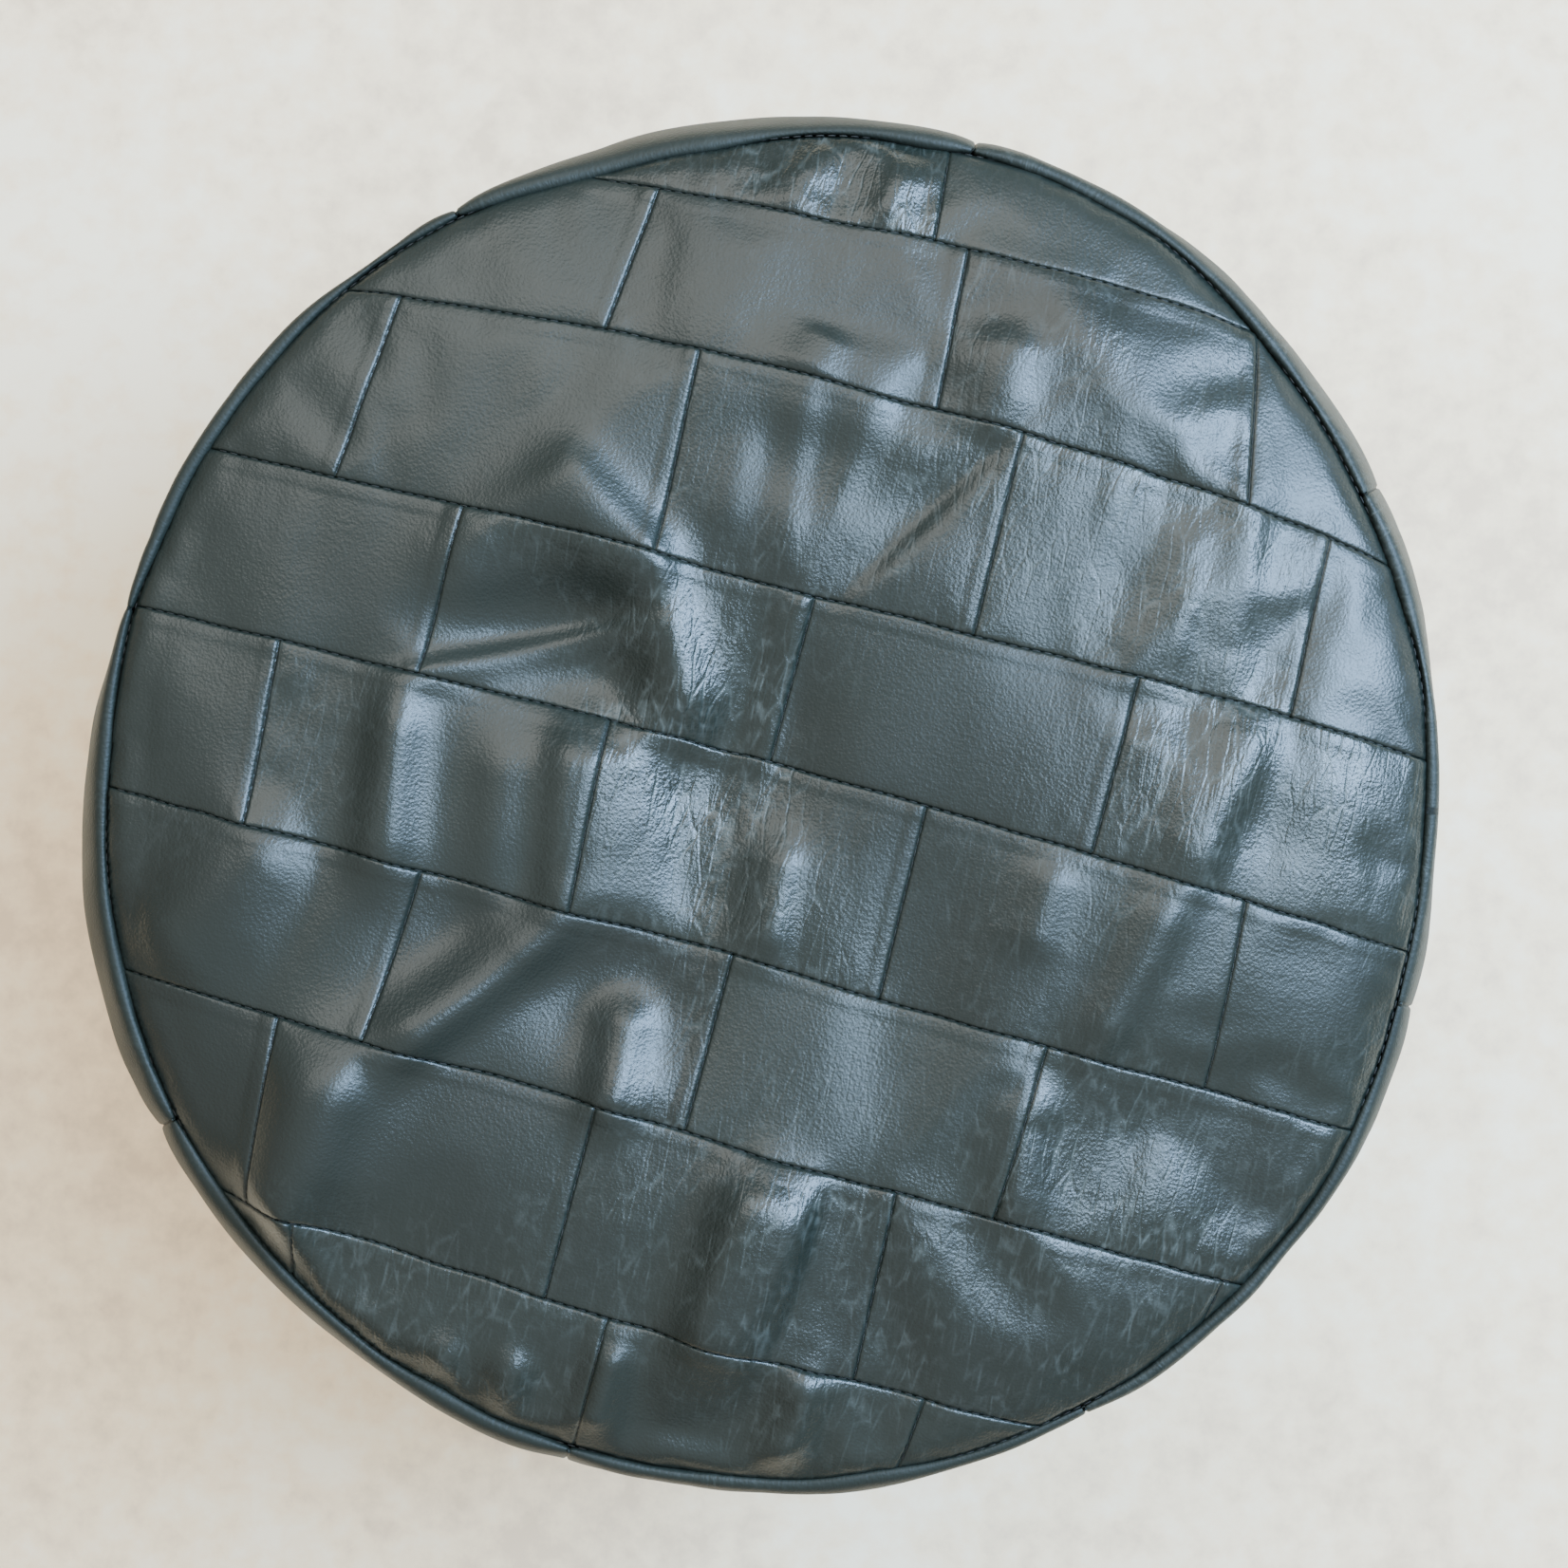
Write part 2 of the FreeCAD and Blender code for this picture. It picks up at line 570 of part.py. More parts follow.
def patch_blocks(name, number, bottom, top):
    """A block over each patch of a row."""
    blocks = []
    for place in PATCH_PLACES:
        left = cross_seam(number, place) + " + seam_gap / 2"
        right = cross_seam(number, place + 1) + " - seam_gap / 2"
        blocks.append(tool_block(name, left, right, bottom, top))
    return blocks


def make_top():
    """The patchwork top, one node for each row of patches, and the thread in its seams."""
    half_thread = "thread_wide / 2"
    leather = dome_shell("TopLeather", "0", "leather_thick")
    seam_blocks = []
    for number in range(1, PATCH_ROWS + 1):
        bottom = row_edge(number) + " + seam_gap / 2"
        top = row_edge(number - 1) + " - seam_gap / 2"
        patches = group(f"PatchBlocks{number}", patch_blocks(f"Patch{number}", number, bottom, top))
        turn_piece(patches, "patch_row_turn")
        keep(f"top_patch_row_{number}", boolean("Part::Common", f"TopPatchRow{number}", leather, patches))
        seam_blocks += cross_blocks(f"CrossSeam{number}", number, half_thread, bottom, top)
    for number in range(1, PATCH_ROWS):
        below = f"{row_edge(number)} - {half_thread}"
        above = f"{row_edge(number)} + {half_thread}"
        seam = tool_block(f"RowSeam{number}", "-top_seam_radius", "top_seam_radius", below, above)
        seam_blocks.append(seam)

    thread_layer = dome_shell("ThreadLayer", THREAD_DEPTH, f"{THREAD_DEPTH} + thread_wide")
    threads = group("ThreadBlocks", seam_blocks)
    turn_piece(threads, "patch_row_turn")
    keep("top_seam_thread", boolean("Part::Common", "TopSeamThread", thread_layer, threads))
    edge_inside = TOP_EDGE_RADIUS + " + fit_gap"
    edge_top = dome_level(TOP_EDGE_RADIUS, THREAD_DEPTH)
    edge = ring(edge_inside, f"{edge_inside} + thread_wide", f"{edge_top} - thread_wide", edge_top)
    keep("lid_edge_thread", turned("LidEdgeThread", edge))


def check_document():
    """Stops if a feature failed or a sub-part has no sound solid."""
    failed = [item.Label for item in doc.Objects if "Invalid" in item.State or "Error" in item.State]
    for piece in subparts:
        shape = piece.Shape
        if shape.isNull() or not shape.isValid() or not shape.Solids:
            failed.append(piece.Label)
    if failed:
        raise RuntimeError("failed: " + ", ".join(failed))


def write_steps():
    """Writes each sub-part to a STEP file of its own name."""
    os.makedirs("parts", exist_ok=True)
    for piece in subparts:
        piece.Shape.exportStep(os.path.join("parts", piece.Label + ".step"))
        print(f"{piece.Label}: {len(piece.Shape.Solids)} solids, {piece.Shape.Volume / 1000:.1f} cm3")


make_base()
make_side()
make_lid()
make_top()
doc.recompute()
check_document()
write_steps()
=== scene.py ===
"""Looks of the round patchwork-leather storage ottoman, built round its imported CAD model.

Lengths in the tables are millimetres and angles are degrees. Meshes are in metres, +Z up, in the CAD frame.
"""
import bpy
import json
import math
import numpy as np
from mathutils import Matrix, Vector


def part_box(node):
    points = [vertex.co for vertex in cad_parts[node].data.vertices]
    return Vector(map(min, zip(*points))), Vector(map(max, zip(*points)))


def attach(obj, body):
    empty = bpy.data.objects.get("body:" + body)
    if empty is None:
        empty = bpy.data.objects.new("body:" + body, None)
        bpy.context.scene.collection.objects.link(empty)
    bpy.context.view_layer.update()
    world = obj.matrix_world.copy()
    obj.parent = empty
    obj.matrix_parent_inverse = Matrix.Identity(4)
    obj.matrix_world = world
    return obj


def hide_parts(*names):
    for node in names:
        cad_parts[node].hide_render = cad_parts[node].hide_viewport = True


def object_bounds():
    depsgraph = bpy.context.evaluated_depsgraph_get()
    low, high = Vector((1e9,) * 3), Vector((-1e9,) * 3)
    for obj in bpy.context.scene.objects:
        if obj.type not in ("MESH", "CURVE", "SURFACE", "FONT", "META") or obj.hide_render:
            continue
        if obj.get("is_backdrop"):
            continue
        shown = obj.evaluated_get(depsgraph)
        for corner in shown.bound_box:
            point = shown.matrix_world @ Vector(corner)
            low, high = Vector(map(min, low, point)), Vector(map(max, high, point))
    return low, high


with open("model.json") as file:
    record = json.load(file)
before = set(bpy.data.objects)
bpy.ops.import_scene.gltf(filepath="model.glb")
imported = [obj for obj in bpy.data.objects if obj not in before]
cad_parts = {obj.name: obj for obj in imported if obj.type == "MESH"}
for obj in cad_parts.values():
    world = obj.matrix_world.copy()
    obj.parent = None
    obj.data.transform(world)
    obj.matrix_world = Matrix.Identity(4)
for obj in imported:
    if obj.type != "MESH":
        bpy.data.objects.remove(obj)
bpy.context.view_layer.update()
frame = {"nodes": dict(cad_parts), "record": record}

MM = 0.001

# Levels and radii read from the CAD nodes.
low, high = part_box("lid_band")
BAND_FOOT_LEVEL = low.z / MM
EDGE_LEVEL = high.z / MM
BULGE_RADIUS = high.x / MM
CROWN_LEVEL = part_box("top_patch_row_4")[1].z / MM
EDGE_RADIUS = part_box("lid_edge_thread")[1].x / MM + 2
LID_BOARD_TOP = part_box("lid_board")[1].z / MM
RIM_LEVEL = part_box("rim_binding")[1].z / MM
MOUTH_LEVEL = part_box("rim_binding")[0].z / MM
SIDE_FOOT_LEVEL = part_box("side_row_lower")[0].z / MM
SEAM_LEVELS = [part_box("side_row_middle")[0].z / MM - 0.5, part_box("side_row_middle")[1].z / MM + 0.5]

# The cover's cut.
LEATHER = 1.3
ROW_TURN = math.radians(-13.7)
ROW_WIDE = 80.5
FIRST_SEAM = 256.0
ROW_COUNT = 8
HALF_WIDE = 300.0
PANEL_COUNT = 8
PANEL_TURN = 27.7
STITCH_PITCH = 5.0

# How far each row seam strays from its straight line at its left end, its middle and its right end.
SEAM_REACH = 240.0
SEAM_WANDER = (
    (-13, -6, -9),
    (-3, 6, -10),
    (-2, -3, -7),
    (5, 3, -7),
    (6, 1, -9),
    (12, 4, -5),
    (15, 0, -4),
)
# The cross seams of each row: place along the row, and how far the upper end leans to the right.
CROSS_SEAMS = (
    ((9, -5),),
    ((-112, 7), (28, -3), (162, -10)),
    ((-209, 8), (-73, -2), (67, 0), (206, 0)),
    ((-157, 2), (-3, 2), (138, 2)),
    ((-217, -5), (-73, -3), (65, 0), (207, -4)),
    ((-140, 6), (-1, 2), (136, 5)),
    ((-179, -4), (-42, 2), (92, -2), (232, 12)),
    ((-150, -8), (-16, 2), (121, 7)),
)
# How worn and creased each patch is, from left to right.
PATCH_WEAR = (
    (0.75, 0.15),
    (0.05, 0.2, 0.4, 0.1),
    (0.3, 0.1, 0.8, 0.7, 0.15),
    (0.05, 0.9, 0.25, 0.7),
    (0.05, 0.45, 0.9, 0.6, 0.4),
    (0.15, 0.75, 0.25, 0.7),
    (0.05, 0.45, 0.4, 0.45, 0.2),
    (0.1, 0.7, 0.6, 0.35),
)
# How far the seam between top and band lies outside its CAD circle, and how it strays from that: direction
# and half width in degrees, and reach.
SEAM_OUT = 6.0
SEAM_BULGES = ((60, 24, 9.5), (102, 16, -5), (170, 25, -2.5), (300, 30, 3.5), (350, 18, -5.5))
# The same for the swelling of the band below it, which lies inside its CAD radius.
BAND_IN = 7.0
BAND_BULGES = ((0, 14, -9), (55, 30, 8), (130, 26, -9), (160, 10, -8), (195, 14, 4), (320, 40, -3))

# Soft hollows in the filling: middle x and y, half widths along and across, turn, depth.
HOLLOWS = (
    (-50, -10, 170, 170, 0, 20),
    (-96, 82, 48, 30, 4, 13),
    (-70, 46, 30, 18, 10, 6),
    (-2, 30, 30, 50, 0, 7),
    (-118, -52, 40, 26, 30, 6),
    (-62, -84, 34, 30, 0, 6),
    (34, 142, 50, 20, -15, 5),
    (70, 170, 26, 18, 0, 4),
    (128, 96, 30, 60, 0, 4),
    (206, 30, 26, 60, 0, 4),
    (60, -90, 26, 70, -10, 5),
    (182, -150, 60, 40, 0, 5),
    (-150, -190, 40, 30, 0, 4),
    (40, -215, 24, 50, 0, 5),
    (-30, -262, 40, 20, 0, 3),
)
# Folds: foot x and y, head x and y, height, width to the left and to the right of the way up.
FOLDS = (
    (-34, 34, -50, 108, 10, 20, 13),
    (-50, 104, -88, 148, 7, 26, 12),
    (-150, 57, -58, 76, 5, 6, 9),
    (-138, 98, -64, 108, 8, 34, 18),
    (-3, 20, 14, 90, 3, 12, 6),
    (36, 97, 101, 158, -4, 16, 6),
    (6, 104, 16, 176, 2, 9, 8),
    (28, 130, 52, 184, 2.2, 12, 8),
    (-18, 120, -10, 156, 1.2, 9, 9),
    (-88, -48, -81, 34, 12, 15, 31),
    (-32, -48, -36, 30, -5, 14, 22),
    (-163, -28, -157, 46, 8, 14, 12),
    (-118, -44, -111, 26, 6, 14, 15),
    (-262, -64, -208, -12, 9, 24, 22),
    (-160, -104, -94, -52, 13, 18, 13),
    (-68, -132, -60, -84, 10, 14, 14),
    (-2, -62, 6, -16, 6, 14, 10),
    (-220, -200, -182, -106, 17, 28, 22),
    (-28, -232, 0, -160, 15, 18, 26),
    (6, -224, 26, -168, -4, 6, 14),
    (178, -28, 206, 38, 7, 18, 12),
    (138, -102, 170, -38, 6, 14, 11),
    (110, -60, 120, -26, 4, 12, 11),
    (102, -172, 110, -122, 5, 16, 14),
    (94, 158, 104, 200, 6, 18, 14),
    (18, 184, 26, 200, 2.5, 14, 11),
    (112, 222, 206, 130, 5, 24, 18),
    (196, 48, 204, 126, 4, 14, 10),
    (168, 62, 182, 122, 3, 12, 9),
    (-76, -266, -66, -230, 7, 10, 9),
    (4, -284, 16, -242, 7, 12, 10),
    (-150, -264, -138, -230, 6, 10, 9),
    (-116, -272, -108, -234, 6, 10, 9),
    (10, 256, 22, 288, 4, 10, 10),
    (50, 250, 62, 282, 4, 10, 10),
)
# How leather rolls down into a seam, and the closer grid lines beside it.
GROOVE_REACH = 1.8
GROOVE_DEPTH = 1.8
EDGE_REACH = 2.4
EDGE_DEPTH = 2.6
NEAR_SEAM = (0.15, 0.5, 0.9, 1.4, 2.0, 2.9, 4.0)
GRID_STEP = 1.5
# The settling of the top as cloth: grid step, frames, grid lines of the bed under it, and the rise allowed.
SIM_STEP = 5.0
SIM_FRAMES = 30
BED_LINES = 125
RISE_LIMITS = (-4, 6)
# Radii: the side belts' lengths round are measured at the first; then come the drum's rows at their seams,
# the thread in those seams, and the binding inside the mouth.
BELT_RADIUS = 300.0
SIDE_RADIUS = 299.0
THREAD_RADIUS = 297.4
BINDING_INSIDE = 231.0


# Curves and noise

def spline_weights(place):
    """The first of the four guide values that shape a smooth curve at a place, and their weights."""
    first = np.floor(place).astype(int)
    part = place - first
    weights = (
        (1 - part) ** 3 / 6,
        (3 * part**3 - 6 * part**2 + 4) / 6,
        (-3 * part**3 + 3 * part**2 + 3 * part + 1) / 6,
        part**3 / 6,
    )
    return first - 1, weights


def spline_rows(guide, place, axis, count):
    """Reads a guided curve for every angle at once; each guide value is a number or one per angle."""
    values = np.stack([np.broadcast_to(np.asarray(point[axis], float), (count,)) for point in guide])
    first, weights = spline_weights(place)
    total = 0.0
    for step, weight in enumerate(weights):
        total = total + weight[:, None] * values[np.clip(first + step, 0, len(values) - 1)]
    return total


def spline_sheet(table, across, up):
    """A smooth surface over a table of values, which repeats at its edges."""
    column, column_weights = spline_weights(across)
    row, row_weights = spline_weights(up)
    total = 0.0
    for i, weight in enumerate(column_weights):
        for j, other in enumerate(row_weights):
            total = total + weight * other * table[(column + i) % table.shape[0], (row + j) % table.shape[1]]
    return total


def noise(across, up, size, seed):
    """Smooth noise of about -1 to 1 with bumps of a given size."""
    table = np.random.default_rng(seed).uniform(-1, 1, (64, 64))
    return 1.9 * spline_sheet(table, across / size, up / size)


def crumple(across, up, size, seed):
    """Facets of about a size with sharp valleys between them, 0 in the valleys and about 1 between."""
    bend = size * 0.4 * noise(across, up, size * 2.2, seed + 50)
    return np.abs(noise(across + bend, up - bend, size, seed))


def smooth_step(value):
    """0 below 0, 1 above 1, and smooth between."""
    value = np.clip(value, 0, 1)
    return value * value * (3 - 2 * value)


# Meshes

def grid_faces(columns, rows, closed=False):
    """Corner numbers of each cell of a grid whose points are counted row by row."""
    row = np.arange(rows - 1)[:, None] * columns
    column = np.arange(columns if closed else columns - 1)
    after = (column + 1) % columns
    corners = (row + column, row + after, row + columns + after, row + columns + column)
    return np.stack([corner.ravel() for corner in corners], axis=1)


def new_piece(name, points, faces, material, body, nodes=(), marks=None, thick=None):
    """A mesh piece from points in millimetres, with only the points that its faces use."""
    used, numbers = np.unique(faces, return_inverse=True)
    mesh = bpy.data.meshes.new(name)
    mesh.from_pydata((points[used] * MM).tolist(), [], numbers.reshape(faces.shape).tolist())
    mesh.polygons.foreach_set("use_smooth", np.ones(len(mesh.polygons), bool))
    for mark, values in (marks or {}).items():
        kind, field = ("FLOAT_VECTOR", "vector") if values.ndim == 2 else ("FLOAT", "value")
        attribute = mesh.attributes.new(mark, kind, "POINT")
        attribute.data.foreach_set(field, values[used].ravel().astype(np.float32))
    mesh.materials.append(material)
    piece = bpy.data.objects.new(name, mesh)
    bpy.context.scene.collection.objects.link(piece)
    if thick:
        skin = piece.modifiers.new("Thickness", "SOLIDIFY")
        skin.thickness = thick * MM
        skin.offset = -1
    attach(piece, body)
    if nodes:
        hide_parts(*nodes)
    return piece


# Materials

class Shader:
    """One material under construction."""

    def __init__(self, name, **values):
        self.material = bpy.data.materials.new(name)
        self.material.use_nodes = True
        self.tree = self.material.node_tree
        self.surface = self.tree.nodes["Principled BSDF"]
        self.set(self.surface, values)

    def set(self, node, values):
        """Sets or links inputs, whose names have _ for a blank."""
        for name, value in values.items():
            plain = int(name) if str(name).isdigit() else name.replace("_", " ")
            socket = node.inputs[plain]
            if isinstance(value, bpy.types.NodeSocket):
                self.tree.links.new(value, socket)
            else:
                socket.default_value = value

    def node(self, kind, settings=None, output=0, **values):
        """A new node; returns one of its outputs."""
        node = self.tree.nodes.new("ShaderNode" + kind)
        for name, value in (settings or {}).items():
            setattr(node, name, value)
        self.set(node, values)
        return node.outputs[output]

    def math(self, operation, first, second=0.0):
        """Arithmetic on numbers or outputs."""
        node = self.tree.nodes.new("ShaderNodeMath")
        node.operation = operation
        self.set(node, {0: first, 1: second})
        return node.outputs[0]

    def place(self, scale=(1, 1, 1), mark=None):
        """Coordinates in metres, from the mesh or from a mark on it, stretched by a scale."""
        if mark:
            vector = self.node("Attribute", {"attribute_name": mark}, output=1)
        else:
            vector = self.node("TexCoord", output=3)
        return self.node("Mapping", Vector=vector, Scale=scale)

    def noise(self, place, scale, detail=3.0, roughness=0.5, distortion=0.0):
        """Cloudy noise from 0 to 1."""
        values = {"Scale": scale, "Detail": detail, "Roughness": roughness, "Distortion": distortion}
        return self.node("TexNoise", Vector=place, **values)

    def sway(self, place, scale, reach):
        """A cloudy offset in every direction, up to about a reach in metres."""
        colour = self.node("TexNoise", output=1, Vector=place, Scale=scale, Detail=2.0)
        centred = self.node("VectorMath", {"operation": "SUBTRACT"}, **{"0": colour, "1": (0.5,) * 3})
        return self.node("VectorMath", {"operation": "MULTIPLY"}, **{"0": centred, "1": (2 * reach,) * 3})

    def ramp(self, factor, *stops):
        """A colour ramp; each stop is a place and a colour or grey."""
        node = self.tree.nodes.new("ShaderNodeValToRGB")
        self.tree.links.new(factor, node.inputs[0])
        elements = node.color_ramp.elements
        while len(elements) < len(stops):
            elements.new(0.5)
        for element, (place, colour) in zip(elements, stops):
            element.position = place
            element.color = (colour,) * 3 + (1,) if isinstance(colour, (int, float)) else (*colour, 1)
        return node.outputs[0]

    def blend(self, factor, first, second):
        """From one colour to another as a factor goes from 0 to 1."""
        node = self.tree.nodes.new("ShaderNodeMix")
        node.data_type = "RGBA"
        self.tree.links.new(factor, node.inputs[0])
        self.tree.links.new(first, node.inputs[6])
        node.inputs[7].default_value = (*second, 1)
        return node.outputs[2]

    def range(self, value, low_in, high_in, low_out, high_out):
        """Maps a value from one range to another, held at both ends."""
        node = self.tree.nodes.new("ShaderNodeMapRange")
        self.set(node, {0: value, 1: low_in, 2: high_in, 3: low_out, 4: high_out})
        return node.outputs[0]

    def bump(self, height, depth, under=None):
        """A bump whose height of 1 stands a depth in metres."""
        node = self.tree.nodes.new("ShaderNodeBump")
        node.inputs["Distance"].default_value = depth
        self.tree.links.new(height, node.inputs["Height"])
        if under:
            self.tree.links.new(under, node.inputs["Normal"])
        return node.outputs[0]

    def finish(self, **values):
        """Sets the surface's last inputs and returns the material."""
        self.set(self.surface, values)
        return self.material


def build_leather(name, roughness, gloss):
    """The leather, with its colour, pebbled grain and hair-fine wrinkles; the wrinkle lines of worn patches
    are painted lighter, partly as crease wear and partly as a painted highlight.
    """
    shader = Shader(name, Specular_IOR_Level=gloss)
    place = shader.place(mark="flat")
    tone = shader.node("Attribute", {"attribute_name": "tone"}, output=2)
    wear = shader.node("Attribute", {"attribute_name": "wear"}, output=2)
    cloudy = shader.noise(place, 9, 4)
    shade = shader.math("ADD", shader.math("MULTIPLY", cloudy, 0.6), shader.math("MULTIPLY", tone, 0.4))
    colour = shader.ramp(
        shade,
        (0.25, (0.0068, 0.0108, 0.0092)),
        (0.5, (0.009, 0.0138, 0.0116)),
        (0.8, (0.0125, 0.0176, 0.0148)),
    )
    pebbles = shader.node("TexVoronoi", {"feature": "SMOOTH_F1"}, Vector=place, Scale=780, Smoothness=0.6)
    fine = shader.noise(place, 1500, 2)
    grain = shader.math("ADD", shader.math("MULTIPLY", pebbles, 0.8), shader.math("MULTIPLY", fine, 0.5))
    bent = shader.node("VectorMath", {"operation": "ADD"}, **{
        "0": shader.place((1, 0.26, 1), "flat"), "1": shader.sway(place, 45, 0.0018)})
    folds = shader.node("TexVoronoi", {"feature": "DISTANCE_TO_EDGE"}, Vector=bent, Scale=150)
    hairs = shader.node("TexVoronoi", {"feature": "DISTANCE_TO_EDGE"}, Vector=bent, Scale=420)
    folds = shader.range(folds, 0, 0.09, 0, 1)
    hairs = shader.range(hairs, 0, 0.2, 0, 1)
    patchy = shader.range(shader.noise(place, 38, 3), 0.35, 0.65, 0.15, 1.0)
    both = shader.math("ADD", shader.math("MULTIPLY", folds, 0.75), shader.math("MULTIPLY", hairs, 0.3))
    worn = shader.math("MULTIPLY", wear, patchy)
    broken = shader.range(shader.noise(place, 150, 2), 0.4, 0.6, 0.1, 1.0)
    normal = shader.bump(shader.math("MULTIPLY", both, worn), 0.00036, shader.bump(grain, 0.00017))
    # Lighter colour along the wrinkle lines of worn patches: partly crease wear, partly a painted highlight
    # on the hair-fine wrinkles.
    crease_wear_and_highlight = shader.math("MULTIPLY", shader.math("SUBTRACT", 1.05, both), worn)
    crease_wear_and_highlight = shader.math("MULTIPLY", crease_wear_and_highlight, broken)
    colour = shader.blend(crease_wear_and_highlight, colour, (0.07, 0.086, 0.083))
    rubbed = shader.range(shader.noise(place, 24, 4), 0.35, 0.65, 0.0, 0.08)
    rough = shader.math("SUBTRACT", roughness, rubbed)
    rough = shader.math("SUBTRACT", rough, shader.math("MULTIPLY", wear, 0.12))
    return shader.finish(Base_Color=colour, Roughness=rough, Normal=normal)


def build_plain(name, colours, rough, grain_scale, grain_depth, **values):
    """A quiet material: three tones of one colour, clouded, with a fine grain."""
    shader = Shader(name, **values)
    place = shader.place()
    cloudy = shader.noise(place, grain_scale / 12, 5)
    dark, middle, light = colours
    colour = shader.ramp(cloudy, (0.3, dark), (0.5, middle), (0.7, light))
    grain = shader.noise(place, grain_scale, 4, 0.6)
    roughness = shader.range(grain, 0.3, 0.7, rough - 0.06, rough + 0.06)
    return shader.finish(Base_Color=colour, Roughness=roughness, Normal=shader.bump(grain, grain_depth))


def build_plywood():
    """Birch plywood: a long grain on the faces and thin plies through the thickness."""
    shader = Shader("birch_plywood", Specular_IOR_Level=0.4)
    grain = shader.noise(shader.place((14, 190, 60)), 1, 6, 0.6, 0.8)
    colour = shader.ramp(
        grain,
        (0.3, (0.42, 0.26, 0.13)),
        (0.55, (0.58, 0.4, 0.22)),
        (0.75, (0.68, 0.5, 0.31)),
    )
    plies = shader.node("TexWave", {"bands_direction": "Z"}, Vector=shader.place(), Scale=110, Distortion=0.4)
    upright = shader.node("NewGeometry", output=1)
    level = shader.node("SeparateXYZ", output=2, Vector=upright)
    edge = shader.range(shader.math("ABSOLUTE", level), 0.3, 0.7, 1, 0)
    dark = shader.math("MULTIPLY", shader.range(plies, 0.3, 0.7, 0, 0.55), edge)
    colour = shader.blend(dark, colour, (0.2, 0.11, 0.05))
    height = shader.math("ADD", grain, shader.math("MULTIPLY", dark, 0.5))
    return shader.finish(Base_Color=colour, Roughness=0.6, Normal=shader.bump(height, 0.0002))


def build_woven(name, dark, light, pitch, rough=0.85):
    """A plain weave of a given thread pitch in metres."""
    shader = Shader(name, Specular_IOR_Level=0.2)
    place = shader.place()
    settings = {"wave_type": "BANDS"}
    scale = 0.5 / pitch
    warp = shader.node("TexWave", {**settings, "bands_direction": "X"}, Vector=place, Scale=scale)
    weft = shader.node("TexWave", {**settings, "bands_direction": "Y"}, Vector=place, Scale=scale)
    weave = shader.math("MULTIPLY", warp, weft)
    slub = shader.noise(place, 60, 5)
    shade = shader.math("ADD", shader.math("MULTIPLY", weave, 0.4), shader.math("MULTIPLY", slub, 0.6))
    colour = shader.ramp(shade, (0.25, dark), (0.75, light))
    return shader.finish(Base_Color=colour, Roughness=rough, Normal=shader.bump(weave, pitch * 0.3))


leather = build_leather("dark_green_leather", 0.39, 0.4)
side_leather = build_leather("dull_green_leather", 0.6, 0.28)
thread = build_plain("black_thread", ((0.006,) * 3, (0.01, 0.012, 0.011), (0.02, 0.022, 0.02)), 0.6, 2500,
                     0.0001, Specular_IOR_Level=0.3)
plywood = build_plywood()
steel = build_plain("zinc_plated_steel", ((0.5, 0.5, 0.48), (0.6, 0.6, 0.6), (0.68, 0.69, 0.7)), 0.32, 900,
                    0.00004, Metallic=1.0)
glide_plastic = build_plain("black_nylon", ((0.012,) * 3, (0.018,) * 3, (0.03,) * 3), 0.45, 700, 0.00006)
card = build_plain("grey_card", ((0.3, 0.28, 0.25), (0.36, 0.34, 0.3), (0.44, 0.41, 0.37)), 0.9, 500, 0.0001)
foam = build_plain("cream_foam", ((0.55, 0.48, 0.3), (0.66, 0.58, 0.38), (0.74, 0.67, 0.48)), 0.95, 900,
                   0.0006, Specular_IOR_Level=0.1)
wadding = build_plain("white_wadding", ((0.62, 0.62, 0.6), (0.72, 0.72, 0.7), (0.8, 0.8, 0.79)), 0.98, 260,
                      0.0012, Specular_IOR_Level=0.1)
lining = build_woven("lining_cotton", (0.055, 0.05, 0.042), (0.12, 0.11, 0.095), 0.0009)
dust_cloth = build_woven("dust_cloth", (0.008, 0.008, 0.009), (0.025, 0.025, 0.027), 0.0012)
MATERIALS = {"leather": leather, "thread": thread, "plywood": plywood, "steel": steel, "card": card,
             "glide_plastic": glide_plastic, "foam": foam, "wadding": wadding, "lining_cloth": lining,
             "dust_cloth": dust_cloth}


def dress_cad_nodes():
    """Gives each CAD node the material of its slot."""
    for part in frame["record"]["subparts"]:
        node = frame["nodes"][part["node"]]
        node.data.materials.clear()
        node.data.materials.append(MATERIALS[part["material_slot"]])


# The slack top

def to_object(along, across):
    """From the patch rows' own directions to x and y."""
    x = along * math.cos(ROW_TURN) - across * math.sin(ROW_TURN)
    return x, along * math.sin(ROW_TURN) + across * math.cos(ROW_TURN)


def to_rows(x, y):
    """From x and y to the patch rows' own directions."""
    along = x * math.cos(ROW_TURN) + y * math.sin(ROW_TURN)
    return along, -x * math.sin(ROW_TURN) + y * math.cos(ROW_TURN)


def bulges(table, angle):
    """How far an outline strays from its circle at each angle."""
    total = 0.0
    for direction, half_wide, reach in table:
        apart = (np.degrees(angle) - direction + 180) % 360 - 180
        total = total + reach * np.exp(-((apart / half_wide) ** 2))
    return total


def round_noise(angle, size, seed):
    """Noise round the edge."""
    return noise(EDGE_RADIUS * np.cos(angle), EDGE_RADIUS * np.sin(angle), size, seed)


def seam_radius(angle):
    """Radius of the seam between the top and the band."""
    return EDGE_RADIUS + SEAM_OUT + bulges(SEAM_BULGES, angle) + 0.8 * round_noise(angle, 22, 5)


def seam_level(angle):
    """Level of that seam."""
    return EDGE_LEVEL + 2.5 * round_noise(angle, 90, 6) + 0.7 * round_noise(angle, 24, 7)


